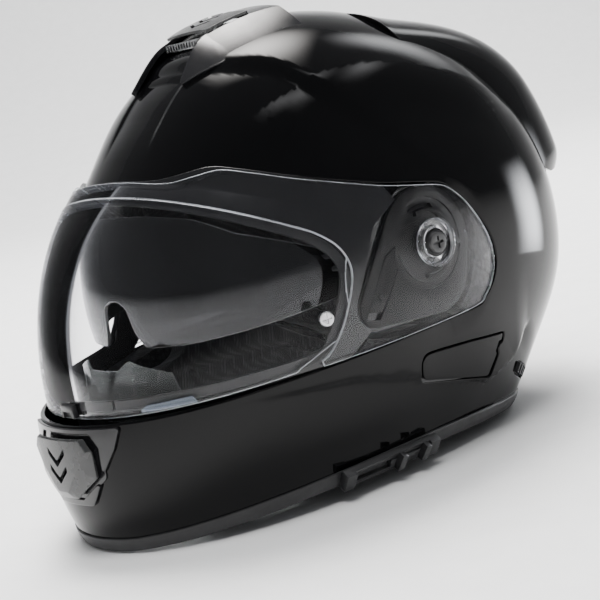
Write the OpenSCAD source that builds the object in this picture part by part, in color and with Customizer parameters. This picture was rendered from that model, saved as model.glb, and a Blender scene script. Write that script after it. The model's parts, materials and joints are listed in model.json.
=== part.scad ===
// Full-face touring helmet with a clear visor and a drop-down sun visor.
// Millimetres. Front faces -y, the wearer's left is +x, up is +z.
// The helmet rests on z = 0 on its chin rim and its nape rim.

/* [Shell] */
// half the width of the outer shell
half_width = 122; // [120:0.5:124]
// reach of the chin from the pivot axis
chin_reach = 193.5; // [192:0.5:195]
// reach of the brow from the pivot axis
brow_reach = 142; // [141:0.5:143]
// reach of the crown from the pivot axis
crown_reach = 144.5; // [144:0.5:147]
// reach of the back of the shell from the pivot axis
back_reach = 163.5; // [162:0.5:166]
// wall of the outer shell
shell_wall = 4.5; // [4.2:0.1:4.8]

/* [Visor] */
// thickness of the clear visor
visor_wall = 2.2; // [1.8:0.1:2.3]
// width of the lift tab on the visor's lower edge
tab_width = 30; // [20:1:40]

/* [Sun visor] */
// reach of the sun visor from its own pivot axis
sun_reach = 132.5; // [131:0.5:133]
// thickness of the sun visor
sun_wall = 2; // [1.6:0.1:2.2]

/* [Rim and vents] */
// height of the soft trim on the outside of the shell
trim_height = 8.5; // [7:0.5:10]
// width of the crown vent's intake mouth
mouth_width = 40; // [34:1:44]
// number of chevrons on the crown vent slider
chevrons = 3; // [2:1:3]

/* [Liner] */
// thickness of the energy-absorbing liner at the crown
eps_wall = 24; // [20:1:26]
// thickness of the comfort pads
pad_wall = 9; // [7:1:10]

/* [Hidden] */
axis_z = 127.5;
axis_y = 7.3;
sun_y = -6;
sun_z = 122.5;
plate_in = 114.3;
plate_out = 116.8;
top_angle = 29.5;
fold_angle = 24;
pad_gap = 0.5;
rows = 52;
soft_grid = 0.6;
cols = 10;
big = 260;
dirs = [-60, -35, -15, 10, 32, 60, 90, 125, 160, 195, 220, 240, 300];
radii = [225, 222, chin_reach, 160.5, brow_reach, brow_reach - 0.5, crown_reach, 151,
  back_reach, 169, 163, 176, 225];

// ---- the helmet's outline as a distance from the pivot axis, by direction ----
// 0 degrees looks forward, 90 degrees looks up
function wrap(a) = a < -60 ? a + 360 : a >= 300 ? a - 360 : a;
function count() = len(dirs) - 1;
function slope(i) = let (n = count(),
    before = i == 0 ? dirs[n - 1] - 360 : dirs[i - 1],
    after = i == n ? dirs[1] + 360 : dirs[i + 1],
    low = i == 0 ? radii[n - 1] : radii[i - 1],
    high = i == n ? radii[1] : radii[i + 1])
  (high - low) / (after - before);
function cell(q) = [for (k = [0:count() - 1]) if (q >= dirs[k] && q < dirs[k + 1]) k][0];
function hermite(i, s, h) = radii[i] * (2 * pow(s, 3) - 3 * s * s + 1)
  + slope(i) * h * (pow(s, 3) - 2 * s * s + s)
  + radii[i + 1] * (3 * s * s - 2 * pow(s, 3))
  + slope(i + 1) * h * (pow(s, 3) - s * s);
function shell_reach(a) = let (q = wrap(a), i = cell(q), h = dirs[i + 1] - dirs[i])
  hermite(i, (q - dirs[i]) / h, h);

// the visor leans: its reach shrinks steadily toward its top edge
function visor_line(a) = 173.1 - 0.91 * a;
function visor_reach(a) = let (q = a > 180 ? a - 360 : a)
  q < -60 ? visor_line(-60) - 53 * ease((-60 - q) / 120)
  : q < fold_angle ? visor_line(q)
  : q < top_angle ? visor_line(fold_angle) - (q - fold_angle) * 0.85
  : visor_line(fold_angle) - (top_angle - fold_angle) * 0.85 + 28 * ease((q - 62) / 118);

// the shell's inner face dips in behind the visor
function inner_reach(a) = let (q = a > 180 ? a - 360 : a)
  min(shell_reach(a), q > 75 || q < -40 ? 999
    : visor_line(q) - 4.6 + max(0, -15 - q) * 2.2 + max(0, q - 22) * 1.4) - shell_wall;

// the spoiler swells out of the back and stops short at its lip
function ease(s) = let (u = min(max(s, 0), 1)) u * u * (3 - 2 * u);
function spoiler_reach(a) = shell_reach(a) - 4
  + 25 * ease((a - 104) / 52) * (1 - ease((a - 166) / 12));

// how square the shell is across its width, by direction
function squareness(a) = let (q = a - 9.7, c = cos(q), s = sin(q))
  2.16 * pow(max(c, 0), 2) + 2.9 * pow(max(-c, 0), 2)
  + 2.3 * pow(max(s, 0), 2) + 1.85 * pow(max(-s, 0), 2);

function reach(kind, a) = kind == "shell" ? shell_reach(a)
  : kind == "inner" ? inner_reach(a)
  : kind == "visor" ? visor_reach(a)
  : spoiler_reach(a);
function square(kind, a) = kind == "visor" ? 2.13 : kind == "spoiler" ? 4 : squareness(a);
function half(kind) = kind == "visor" ? half_width + 2.9 : kind == "inner"
  ? half_width - shell_wall : kind == "spoiler" ? half_width - 25 : half_width;

function skin(kind, a, t, off) = let (n = square(kind, a), r = reach(kind, a) + off,
    w = half(kind) + off, c = pow(cos(t), 2 / n), s = sign(t) * pow(abs(sin(t)), 2 / n))
  [w * s, -r * c * cos(a), axis_z + r * c * sin(a)];

// a closed body whose surface lies off millimetres outside the named surface
module ball(kind, off, fine = 1) {
  n = round(rows * fine);
  m = round(cols * fine);
  w = 2 * m + 1;
  ring = [for (i = [0:n - 1]) for (j = [-m:m]) skin(kind, i * 360 / n - 60, j * 84 / m, off)];
  caps = [[half(kind) + off, 0, axis_z], [-half(kind) - off, 0, axis_z]];
  side = [for (i = [0:n - 1]) for (j = [0:w - 2])
    let (k = (i + 1) % n, a = i * w + j, b = k * w + j) each [[a, b, b + 1], [a, b + 1, a + 1]]];
  left = [for (i = [0:n - 1]) let (k = (i + 1) % n) [i * w + w - 1, k * w + w - 1, n * w]];
  right = [for (i = [0:n - 1]) let (k = (i + 1) % n) [k * w, i * w, n * w + 1]];
  polyhedron(concat(ring, caps), concat(side, left, right));
}

module layer(kind, outer, inner, fine = 1) {
  difference() {
    ball(kind, outer, fine);
    ball(kind, inner, fine);
  }
}

// cutters: outlines drawn from the side (y, z), from the front (x, z) and from above (x, y)
module from_side(x0 = -big, x1 = big) {
  translate([x0, 0, 0])
    rotate([90, 0, 90])
      linear_extrude(height = x1 - x0)
        children();
}

module from_front(y0 = -big, y1 = 0) {
  translate([0, y1, 0])
    rotate([90, 0, 0])
      linear_extrude(height = y1 - y0)
        children();
}

module from_above(z0, z1) {
  translate([0, 0, z0])
    linear_extrude(height = z1 - z0)
      children();
}

module smooth_body() {
  resize([0, 0, 0])
    children();
}

module place() {
  translate([0, axis_y, 0])
    children();
}

module on_side(left) {
  mirror([left ? 0 : 1, 0, 0])
    children();
}

// an outline turned about the pivot axis, as the visor turns when it opens
module turned(a) {
  translate([0, axis_z])
    rotate(-a)
      translate([0, -axis_z])
        children();
}

// ---- outlines ----
// the rim line rests at both ends and arches up between them
function rim(y) = max(0, 10 * (1 - pow((y + 37) / 142, 2)));

module below_rim(lift) {
  polygon(concat([[-big, -200], [-big, lift]], [for (y = [-190:10:190]) [y, rim(y) + lift]],
    [[big, lift], [big, -200]]));
}

module visor_outline() {
  polygon([[-230, 72], [-186, 76], [-164, 76.5], [-136, 78], [-99, 80], [-36, 82], [24, 83.5],
    [34, 87], [42, 94], [46.5, 103], [47.5, 112], [45.5, 121], [40, 132], [32, 144], [24, 152],
    [15, 157.5], [-5, 162], [-29, 167.5], [-67, 180.5], [-88, 190], [-100, 195.5], [-108, 194.5],
    [-120, 193.5], [-128, 198.5], [-230, 260]]);
}

module window_outline() {
  polygon([[-230, 70], [-186, 76], [-136, 79], [-90, 83], [-76, 92], [-66, 108], [-59, 126],
    [-62, 140], [-72, 151], [-84, 159], [-122, 183], [-135, 191], [-230, 250]]);
}

module eyeport_outline() {
  polygon([[-230, 84], [-164, 84], [-90, 87], [-78, 95], [-69, 109], [-63, 126], [-66, 138],
    [-76, 149], [-86, 156], [-122, 180], [-136, 189.5], [-230, 240]]);
}

module closed_zone() {
  offset(delta = 1)
    visor_outline();
}

module swept_zone() {
  for (a = [8, 16, 24, 33.5])
    turned(a)
      offset(delta = 0.7)
        visor_outline();
}

module mech_outline() {
  hull() {
    translate([0, axis_z])
      circle(r = 33, $fn = 48);
    translate([-47, 102])
      circle(r = 11, $fn = 28);
    translate([2, 112])
      circle(r = 26, $fn = 36);
  }
}

module side_cover_outline() {
  offset(r = 3, $fn = 24)
    offset(delta = -3)
      polygon([[-17, 52], [-17, 62], [-12, 67], [20, 63.5], [50, 60], [36, 37], [-11, 50]]);
}

// ---- shell ----
module outer_shell() {
  place()
    color("black")
      smooth_body()
        difference() {
          ball("shell", 0);
          difference() {
            ball("inner", 0, soft_grid);
            for (s = [-1, 1])
              scale([s, 1, 1])
                from_side(111.2, 118)
                  offset(delta = 3)
                    mech_outline();
          }
          from_side()
            below_rim(3.8);
          from_side()
            intersection() {
              eyeport_outline();
              translate([-big, 0])
                square([big, big]);
            }
          visor_seat();
          for (s = [-1, 1])
            scale([s, 1, 1]) {
              from_side(114.2, big)
                mech_outline();
              intersection() {
                layer("shell", 1, -2.1);
                from_side(20, big)
                  offset(delta = 0.3)
                    side_cover_outline();
              }
              from_side(20, big)
                translate([80, 27])
                  rotate(-28)
                    square([17, 7], center = true);
            }
          vent_holes();
        }
}

// the ledge the visor closes onto, and the path it needs when it opens
module visor_seat() {
  difference() {
    from_side()
      closed_zone();
    ball("visor", -visor_wall - 2.2);
  }
  difference() {
    from_side()
      swept_zone();
    ball("visor", -visor_wall - 1.2);
  }
}

module vent_holes() {
  for (x = [-12, 12])
    translate([x, -42, 230])
      cylinder(r = 4, h = 60, $fn = 16);
  from_front(-big, -150)
    for (x = [-13, 13])
      translate([x, 62])
        square([14, 5], center = true);
  for (x = [-30, 30])
    translate([x, 0, 138])
      rotate([-90, 0, 0])
        translate([0, 0, 120])
          cylinder(r = 4, h = 90, $fn = 16);
}

module rim_band(low, high) {
  from_side()
    difference() {
      below_rim(high);
      below_rim(low);
    }
}

module rim_trim() {
  place()
    color([0.07, 0.07, 0.07])
      smooth_body()
        difference() {
          intersection() {
            layer("shell", 1.5, -9);
            rim_band(0, trim_height);
          }
          intersection() {
            ball("shell", 0.05);
            rim_band(3.6, 60);
          }
          track_seat(0.3);
        }
}

module eyeport_gasket() {
  place()
    color([0.05, 0.05, 0.05])
      smooth_body()
        difference() {
          union() {
            intersection() {
              layer("visor", -visor_wall - 0.5, -visor_wall - 2.1, 1);
              from_side()
                difference() {
                  offset(delta = 4)
                    eyeport_outline();
                  offset(delta = -1)
                    eyeport_outline();
                }
            }
            intersection() {
              layer("visor", -visor_wall - 1, -visor_wall - 9, 1);
              from_side()
                difference() {
                  offset(delta = -0.05)
                    eyeport_outline();
                  offset(delta = -2)
                    eyeport_outline();
                }
            }
          }
          translate([-big, -60, 0])
            cube([2 * big, big, big]);
        }
}

// ---- visor ----
module visor() {
  place()
    color([0.8, 0.85, 0.9, 0.4])
      smooth_body()
        difference() {
          union() {
            intersection() {
              layer("visor", 0, -visor_wall);
              from_side()
                visor_outline();
            }
            intersection() {
              layer("visor", 3.2, -0.6);
              from_front(-big, -100)
                polygon([[-tab_width / 2 + 66, 78], [tab_width / 2 + 66, 79.5],
                  [tab_width / 2 + 60, 83], [-tab_width / 2 + 72, 82]]);
            }
          }
          difference() {
            from_side()
              difference() {
                translate([-230, 40])
                  square([300, 220]);
                window_outline();
                translate([-230, 60])
                  square([230, 24]);
              }
            ball("visor", -0.6);
          }
          for (s = [-1, 1])
            translate([s * 118, 0, axis_z])
              rotate([0, s * 90, 0])
                cylinder(r = 13, h = 20, $fn = 64);
          at_pins()
            translate([0, 0, -6])
              cylinder(r = 3.25, h = 12, $fn = 48);
        }
}

// round hubs that carry the visor and turn on the base plates' posts
module visor_hubs() {
  place()
    color([0.75, 0.8, 0.85, 0.6])
      for (s = [-1, 1])
        translate([0, 0, axis_z])
          rotate([0, s * 90, 0])
            translate([0, 0, 121.6])
              difference() {
                union() {
                  cylinder(r = 12.98, h = 3.9);
                  translate([0, 0, 3.3])
                    cylinder(r = 14, h = 0.9);
                }
                translate([0, 0, -1])
                  cylinder(r = 8.08, h = 8);
                translate([0, 0, 3.2])
                  cylinder(r = 9.4, h = 4);
              }
}

module at_pins() {
  for (s = [-1, 1])
    translate([s * 113.9, -80, 106])
      rotate([0, 0, -s * 17])
        rotate([0, s * 90, 0])
          children();
}

module window_pins() {
  place()
    color("silver")
      at_pins()
        difference() {
          union() {
            translate([0, 0, -3.4])
              cylinder(r = 3.2, h = 4.2);
            translate([0, 0, 0.55])
              cylinder(r1 = 4.4, r2 = 4, h = 1.2);
          }
          translate([0, 0, 1.1])
            linear_extrude(height = 2) {
              square([5.4, 1], center = true);
              square([1, 5.4], center = true);
            }
        }
}

module visor_latch() {
  place()
    color([0.1, 0.1, 0.1])
      smooth_body()
        difference() {
          intersection() {
            layer("visor", 3.6, 0.03);
            from_front(-big, -120)
              polygon([[-7, 77.5], [7, 77.5], [6, 85], [-6, 85]]);
          }
          intersection() {
            layer("visor", 5, 1.6);
            from_front(-big, -120)
              translate([-4, 76])
                square([8, 5]);
          }
        }
}

module chin_catch() {
  place()
    color([0.1, 0.1, 0.1])
      smooth_body()
        intersection() {
          layer("visor", -visor_wall - 0.3, -visor_wall - 2.15);
          from_front(-big, -120)
            translate([-5, 76.3])
              square([10, 3.4]);
        }
}

// ---- visor mechanism ----
module lever_slot(grow) {
  rotate([90, 0, 90])
    linear_extrude(height = 4)
      offset(delta = grow)
        polygon([[-24, 131], [-32, 128], [-52, 101], [-43, 99], [-34, 108], [-24, 121]]);
}

module base_plate(left) {
  place()
    on_side(left)
      color([0.13, 0.13, 0.14]) {
        difference() {
          from_side(plate_in, plate_out)
            offset(delta = -0.4)
              mech_outline();
          for (k = [0:2])
            translate([113.6, -1.2 * k, -1.8 * k])
              lever_slot(0.4);
          translate([110, 0, axis_z])
            rotate([0, 90, 0])
              cylinder(r = 2.6, h = 10);
          from_side(plate_out - 1, 118)
            difference() {
              translate([0, axis_z])
                circle(r = 26);
              translate([0, axis_z])
                circle(r = 22);
              translate([-40, 126])
                square([30, 40]);
            }
        }
        translate([0, 0, axis_z])
          rotate([0, 90, 0])
            difference() {
              translate([0, 0, plate_out])
                cylinder(r = 8, h = 124.7 - plate_out);
              translate([0, 0, 110])
                cylinder(r = 2.6, h = 20);
            }
        difference() {
          from_side(plate_out, 119.6)
            difference() {
              translate([0, axis_z])
                circle(r = 20);
              translate([0, axis_z])
                circle(r = 17.5);
              translate([-40, 90])
                square([34, 60]);
            }
        }
        from_side(plate_out, 119.2)
          polygon([[6, 149], [8.5, 148.5], [24, 122], [21.5, 121.5]]);
      }
}

module base_plate_left() {
  base_plate(true);
}

module base_plate_right() {
  base_plate(false);
}

module pivot_screws() {
  place()
    color("silver")
      for (s = [-1, 1])
        translate([0, 0, axis_z])
          rotate([0, s * 90, 0])
            difference() {
              union() {
                translate([0, 0, 114.25])
                  cylinder(r = 2.5, h = 10.55);
                translate([0, 0, 124.72])
                  cylinder(r1 = 7, r2 = 5.8, h = 1.9);
              }
              translate([0, 0, 125.3])
                linear_extrude(height = 3) {
                  square([7, 1.5], center = true);
                  square([1.5, 7], center = true);
                }
            }
}

module release_lever(left) {
  place()
    on_side(left)
      color([0.2, 0.2, 0.21]) {
        difference() {
          translate([114.5, 0, 0])
            lever_slot(0);
          translate([plate_out, -80, 60])
            cube([10, 120, 120]);
        }
        translate([plate_out - 0.1, -40, 107])
          rotate([0, 90, 0])
            cylinder(r = 3, h = 0.7);
      }
}

module release_lever_left() {
  release_lever(true);
}

module release_lever_right() {
  release_lever(false);
}

// ---- sun visor ----
module sun_shape(outer, inner, start, angle) {
  translate([0, sun_y, sun_z])
    rotate([0, 90, 0])
      rotate([0, 0, start])
        rotate_extrude(angle = angle)
          difference() {
            polygon(sun_profile(outer));
            polygon(sun_profile(inner));
          }
}

function sun_profile(off) = let (w = 108.5 + off, r = sun_reach + off) concat([[0, -w]],
  [for (t = [-84:6:84]) [r * pow(cos(t), 0.87), w * sign(t) * pow(abs(sin(t)), 0.87)]],
  [[0, w]]);

module sun_visor() {
  place()
    color([0.12, 0.12, 0.13, 0.7]) {
      difference() {
        intersection() {
          translate([0, sun_y, sun_z])
            rotate([0, 90, 0])
              rotate_extrude()
                difference() {
                  polygon(sun_profile(0));
                  polygon(sun_profile(-sun_wall));
                }
          from_side()
            polygon([[-170, 104], [-128, 104], [-90, 108], [-50, 113], [-4, 116.5], [2, 122],
              [-4, 128.5], [-60, 140], [-100, 160], [-112, 171], [-125, 178], [-170, 190]]);
        }
        from_front()
          nose_outline();
        for (s = [-1, 1])
          translate([s * 100, sun_y, sun_z])
            rotate([0, s * 90, 0])
              cylinder(r = 3.06, h = 20, $fn = 48);
      }
    }
}

module nose_outline() {
  hull() {
    translate([0, 116])
      circle(r = 15, $fn = 32);
    translate([-27, 90])
      square([54, 8]);
  }
}

module sun_visor_pivots() {
  place()
    color([0.3, 0.3, 0.32])
      for (s = [-1, 1])
        translate([0, sun_y, sun_z])
          rotate([0, s * 90, 0]) {
            translate([0, 0, 105])
              cylinder(r = 3, h = 6.15, $fn = 48);
            translate([0, 0, 109.2])
              cylinder(r = 5.5, h = 1.95);
            translate([0, 0, 104.4])
              cylinder(r = 5, h = 1.2);
          }
}

// ---- sun visor slider on the left rim ----
module along_rim() {
  translate([99.4, -46, 16])
    rotate([0, 0, -4.4])
      rotate([0, 36, 0])
        children();
}

module track_seat(grow) {
  along_rim()
    translate([0.2, -34 - grow, -12])
      cube([20, 68 + 2 * grow, 22]);
}

module slider_track() {
  place()
    color([0.09, 0.09, 0.09])
      along_rim()
        difference() {
          union() {
            translate([0.5, -34, -8])
              cube([3.4, 68, 11.5]);
            for (y = [-34, 27])
              translate([0.5, y, -8])
                cube([5.6, 7, 11.5]);
          }
          translate([1.7, -26.8, -5])
            cube([10, 53.6, 6]);
        }
}

module slider_thumb() {
  place()
    color([0.14, 0.14, 0.15])
      along_rim() {
        translate([1.9, -1.6, -4.8])
          cube([3.2, 28, 5.6]);
        for (y = [1.5, 19])
          translate([5, y, 0])
            rotate([90, 0, 90])
              linear_extrude(height = 4)
                polygon([[0, -5], [4.5, -5.5], [5.5, 4.5], [1.5, 5.5]]);
      }
}

// ---- vents ----
module vent_plan() {
  polygon([[-30, -78], [30, -78], [43, -48], [56, -4], [-56, -4], [-43, -48]]);
}

module vent_plate_plan(grow) {
  offset(delta = grow)
    polygon([[-22, -48], [22, -48], [36, -12], [-36, -12]]);
}

module top_vent_fairing() {
  place()
    color([0.12, 0.12, 0.13])
      smooth_body()
        difference() {
          intersection() {
            layer("shell", 8, 0.02);
            from_above(200, 300)
              vent_plan();
            translate([0, 10, 0])
              from_side()
                polygon([[-100, 200], [-98, 226], [-61, 262], [-20, 300], [-10, 300], [-10, 200]]);
          }
          from_above(200, 300)
            translate([-mouth_width / 2, -90])
              square([mouth_width, 41]);
          intersection() {
            layer("shell", 9, 3.2);
            from_above(200, 300)
              vent_plate_plan(0.5);
          }
          from_above(200, 300)
            for (x = [-12, 12])
              translate([x, -42])
                circle(r = 4, $fn = 16);
          for (s = [-1, 1])
            scale([s, 1, 1])
              translate([58, -40, 250])
                rotate([0, 38, 16])
                  cube([20, 120, 60], center = true);
        }
}

module top_vent_slider() {
  place()
    color([0.35, 0.35, 0.36])
      smooth_body()
        difference() {
          intersection() {
            layer("shell", 7.3, 3.9);
            from_above(200, 300)
              polygon([[-21.5, -47.5], [21.5, -47.5], [31, -21], [-31, -21]]);
          }
          intersection() {
            layer("shell", 10, 6.4);
            from_above(200, 300)
              for (k = [0:chevrons - 1])
                translate([0, -42 + k * 7])
                  difference() {
                    polygon([[-9, 6], [0, 0], [9, 6], [9, 8.6], [0, 2.6], [-9, 8.6]]);
                  }
          }
        }
}

module top_vent_mesh() {
  place()
    color("silver")
      translate([0, -49.3, 0])
        difference() {
          translate([-mouth_width / 2 + 0.5, -1.2, 262])
            cube([mouth_width - 1, 1.2, 4.8]);
          for (i = [-6:6])
            translate([i * 2.8 - 0.9, -2, 262.9])
              cube([1.8, 3, 3]);
        }
}

module chin_panel_outline() {
  polygon([[-45, 74], [45, 74], [40, 62], [22, 36], [17, 30], [-17, 30], [-22, 36], [-40, 62]]);
}

module chin_cover_outline(grow) {
  offset(delta = grow)
    polygon([[-23, 67], [23, 67], [26.5, 61], [8, 35.5], [-8, 35.5], [-26.5, 61]]);
}

module chin_vent_panel() {
  place()
    color([0.05, 0.05, 0.05])
      smooth_body()
        difference() {
          intersection() {
            layer("shell", 2.4, 0.02);
            from_front(-big, -120)
              chin_panel_outline();
          }
          from_front(-big, -120)
            chin_cover_outline(-3);
          intersection() {
            layer("shell", 4, 1.2);
            from_front(-big, -120)
              chin_cover_outline(1);
          }
        }
}

module chin_vent_cover() {
  place()
    color([0.3, 0.3, 0.31])
      smooth_body()
        difference() {
          intersection() {
            layer("shell", 6, 2.9);
            from_front(-big, -120)
              chin_cover_outline(0);
          }
          for (z = [48, 56.5])
            from_front(-big, -120)
              translate([0, z])
                polygon([[-8.5, 4.5], [0, -2.5], [8.5, 4.5], [8.5, 7], [0, 0.5], [-8.5, 7]]);
        }
}

module chin_vent_grille() {
  place()
    color([0.08, 0.08, 0.08])
      smooth_body()
        difference() {
          intersection() {
            layer("shell", -1, -3.2);
            from_front(-big, -150)
              for (x = [-13, 13])
                translate([x, 62])
                  square([13.9, 4.9], center = true);
          }
          from_front(-big, -150)
            for (x = [-17.5:4.5:18])
              translate([x, 62])
                square([2.6, 3.4], center = true);
        }
}

module breath_guard() {
  place()
    color([0.2, 0.2, 0.2, 0.6])
      smooth_body()
        intersection() {
          layer("visor", -25, -26.6);
          from_front(-big, -110)
            polygon([[-52, 66], [52, 66], [46, 92], [22, 101], [14, 96], [-14, 96], [-22, 101],
              [-46, 92]]);
        }
}

module chin_curtain() {
  place()
    color([0.1, 0.1, 0.1])
      smooth_body()
        intersection() {
          ball("shell", -24);
          from_above(13, 15)
            difference() {
              translate([-90, -220])
                square([180, 118]);
              translate([0, -74])
                circle(r = 62, $fn = 48);
            }
        }
}

module rear_spoiler() {
  place()
    color("black")
      smooth_body()
        difference() {
          ball("spoiler", 0);
          ball("shell", 0.02);
          from_side()
            polygon([[-big, -200], [-big, 300], [40, 300], [70, 214], [128, 170], [150, 147],
              [166, 149], [big, 149], [big, -200]]);
          from_front(130, 240)
            polygon([[-40, 120], [40, 120], [34, 156], [-34, 156]]);
        }
}

module rear_vent_grille() {
  place()
    color([0.08, 0.08, 0.08])
      smooth_body()
        difference() {
          intersection() {
            layer("shell", 3, 0.02);
            from_front(100, 240)
              offset(delta = -0.5)
                polygon([[-46, 128], [46, 128], [40, 140], [-40, 140]]);
          }
          from_front(100, 240)
            for (x = [-33:11:33])
              translate([x, 134])
                square([7, 6], center = true);
        }
}

module side_cover(left) {
  place()
    on_side(left)
      color("black")
        smooth_body()
          intersection() {
            layer("shell", 0.5, -1.9);
            from_side(20, big)
              side_cover_outline();
          }
}

module side_cover_left() {
  side_cover(true);
}

module side_cover_right() {
  side_cover(false);
}

module side_exhausts() {
  place()
    color([0.08, 0.08, 0.08])
      smooth_body()
        for (s = [-1, 1])
          scale([s, 1, 1])
            difference() {
              intersection() {
                layer("shell", 0.8, -3.5);
                from_side(20, big)
                  translate([80, 27])
                    rotate(-28)
                      square([16.8, 6.8], center = true);
              }
              from_side(20, big)
                translate([80, 27])
                  rotate(-28)
                    for (k = [-1:1])
                      translate([k * 5, 0])
                        square([3, 4.4], center = true);
            }
}

// ---- liners ----
module sun_pocket() {
  intersection() {
    difference() {
      ball("shell", 20, 0.5);
      translate([0, sun_y, sun_z])
        rotate([0, 90, 0])
          rotate_extrude($fn = 72)
            polygon(sun_profile(-sun_wall - 1.6));
    }
    from_side()
      polygon([[-230, 60], [10, 96], [18, 122], [6, 150], [-24, 200], [-40, 260], [-230, 260]]);
  }
}

module eps_liner() {
  place()
    color([0.16, 0.16, 0.17])
      smooth_body()
        difference() {
          ball("inner", -0.6, soft_grid);
          ball("shell", -shell_wall - eps_wall, soft_grid);
          sun_pocket();
          from_side()
            polygon([[-230, -200], [-230, 184], [-92, 184], [-66, 150], [-48, 96], [20, 84],
              [70, 56], [100, 30], [230, 30], [230, -200]]);
          for (s = [-1, 1])
            scale([s, 1, 1])
              from_side(104, 130)
                offset(delta = 6)
                  mech_outline();
        }
}

// the strap's way through the cheek liner and pads
module strap_channel() {
  for (s = [-1, 1])
    scale([s, 1, 1])
      translate([30, -47.5, 0])
        cube([90, 27, 39]);
}

module cheek_eps() {
  place()
    color([0.2, 0.2, 0.21])
      smooth_body()
        intersection() {
          difference() {
            layer("shell", -shell_wall - 1, -shell_wall - 18, soft_grid);
            strap_channel();
          }
          from_side()
            polygon([[-112, 22], [-104, 74], [-60, 80], [-52, 86], [-28, 80], [18, 79],
              [66, 52], [60, 20], [0, 18], [-60, 20]]);
        }
}

module chin_eps() {
  place()
    color([0.2, 0.2, 0.21])
      smooth_body()
        intersection() {
          difference() {
            layer("shell", -shell_wall - 0.8, -shell_wall - 18, soft_grid);
            difference() {
              ball("shell", 5, soft_grid);
              ball("visor", -13, soft_grid);
            }
          }
          from_side()
            polygon([[-230, 16], [-230, 70], [-116, 70], [-120, 18]]);
        }
}

module crown_pad() {
  place()
    color([0.22, 0.22, 0.23])
      smooth_body()
        difference() {
          ball("shell", -shell_wall - eps_wall - pad_gap, soft_grid);
          ball("shell", -shell_wall - eps_wall - pad_gap - pad_wall, soft_grid);
          from_side()
            polygon([[-230, -200], [-230, 188], [-80, 188], [-60, 152], [-44, 100], [20, 88],
              [72, 60], [98, 42], [230, 42], [230, -200]]);
        }
}

module cheek_pad(left) {
  place()
    on_side(left)
      color([0.24, 0.24, 0.25])
        smooth_body()
          intersection() {
            difference() {
              layer("shell", -shell_wall - 18.5, -shell_wall - 44, soft_grid);
              strap_channel();
            }
            from_side(20, 120)
              offset(r = 7, $fn = 24)
                offset(delta = -7)
                  polygon([[-104, 18], [-98, 72], [-56, 78], [-48, 88], [16, 78], [62, 50],
                    [56, 18]]);
          }
}

module cheek_pad_left() {
  cheek_pad(true);
}

module cheek_pad_right() {
  cheek_pad(false);
}

module neck_roll() {
  place()
    color([0.2, 0.2, 0.21])
      smooth_body()
        intersection() {
          layer("shell", -shell_wall - 8, -shell_wall - 30, soft_grid);
          from_side()
            offset(r = 4, $fn = 24)
              offset(delta = -4)
                polygon([[68, 8], [74, 40], [96, 27.5], [160, 27.5], [160, 8]]);
        }
}

// ---- chin strap ----
module strap(pts, wide, thick) {
  rotate([90, 0, 0])
    linear_extrude(height = wide, center = true)
      polygon(concat(pts, [for (i = [len(pts) - 1:-1:0]) [pts[i][0], pts[i][1] + thick]]));
}

module strap_left() {
  place()
    color([0.1, 0.1, 0.1])
      translate([0, -34, 0])
        strap([[96, 33], [70, 28], [52, 21], [39, 15.5], [29.3, 13]], 24, 2);
}

module strap_right() {
  place()
    color([0.1, 0.1, 0.1])
      translate([0, -34, 0])
        strap([[-96, 33], [-70, 28], [-52, 21], [-36, 15.5], [-21, 13]], 24, 2);
}

module strap_rivets() {
  place()
    color("silver")
      for (s = [-1, 1])
        scale([s, 1, 1])
          translate([96.2, -34, 33]) {
            translate([0, -11.5, -2])
              cube([1.6, 23, 6]);
            translate([1.5, 0, 1])
              rotate([0, 90, 0])
                cylinder(r = 3.5, h = 1.2);
          }
}

module buckle_body() {
  place()
    color("silver")
      translate([0, -34, 10.4]) {
        difference() {
          translate([-24, -14, 0])
            cube([44, 28, 2.4]);
          translate([-13, -8, -1])
            cube([22, 16, 5]);
        }
        for (y = [-14, 12.4])
          translate([-12, y, 2.4])
            difference() {
              cube([30, 1.6, 9]);
              translate([6, 3, 6])
                rotate([90, 0, 0])
                  cylinder(r = 1.55, h = 5, $fn = 48);
            }
      }
}

module buckle_pin() {
  place()
    color("silver")
      translate([-6, -34, 18.8])
        rotate([90, 0, 0])
          cylinder(r = 1.5, h = 28, center = true, $fn = 48);
}

function lever_side() = concat([[24, 0.8], [22, 3.2], [-6, 3.2]],
  [for (a = [110:20:330]) [-6 + 3.2 * cos(a), 3.2 * sin(a)]], [[-2.9, 1.4], [21, 1.4]]);

module buckle_lever() {
  place()
    color([0.7, 0.1, 0.08])
      translate([0, -34, 18.8])
        rotate([90, 0, 0])
          difference() {
            linear_extrude(height = 24, center = true)
              polygon(lever_side());
            translate([-6, 0, 0])
              cylinder(r = 1.56, h = 40, center = true, $fn = 48);
          }
}

module ratchet_tongue() {
  place()
    color([0.85, 0.85, 0.85])
      translate([0, -34, 12.95])
        difference() {
          translate([-9, -9, 0])
            cube([38, 18, 1.6]);
          for (k = [0:5])
            translate([-7 + k * 2.8, -10, 1.1])
              cube([1.3, 20, 1]);
        }
}

outer_shell();
rim_trim();
eyeport_gasket();
visor();
visor_hubs();
visor_latch();
window_pins();
chin_catch();
base_plate_left();
base_plate_right();
pivot_screws();
release_lever_left();
release_lever_right();
sun_visor();
sun_visor_pivots();
slider_track();
slider_thumb();
top_vent_fairing();
top_vent_slider();
top_vent_mesh();
chin_vent_panel();
chin_vent_cover();
chin_vent_grille();
breath_guard();
chin_curtain();
rear_spoiler();
rear_vent_grille();
side_cover_left();
side_cover_right();
side_exhausts();
eps_liner();
cheek_eps();
chin_eps();
crown_pad();
cheek_pad_left();
cheek_pad_right();
neck_roll();
strap_left();
strap_right();
strap_rivets();
buckle_body();
buckle_lever();
buckle_pin();
ratchet_tongue();
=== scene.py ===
import json
import math

import bpy
import numpy as np
from mathutils import Euler, Matrix, Vector


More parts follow.
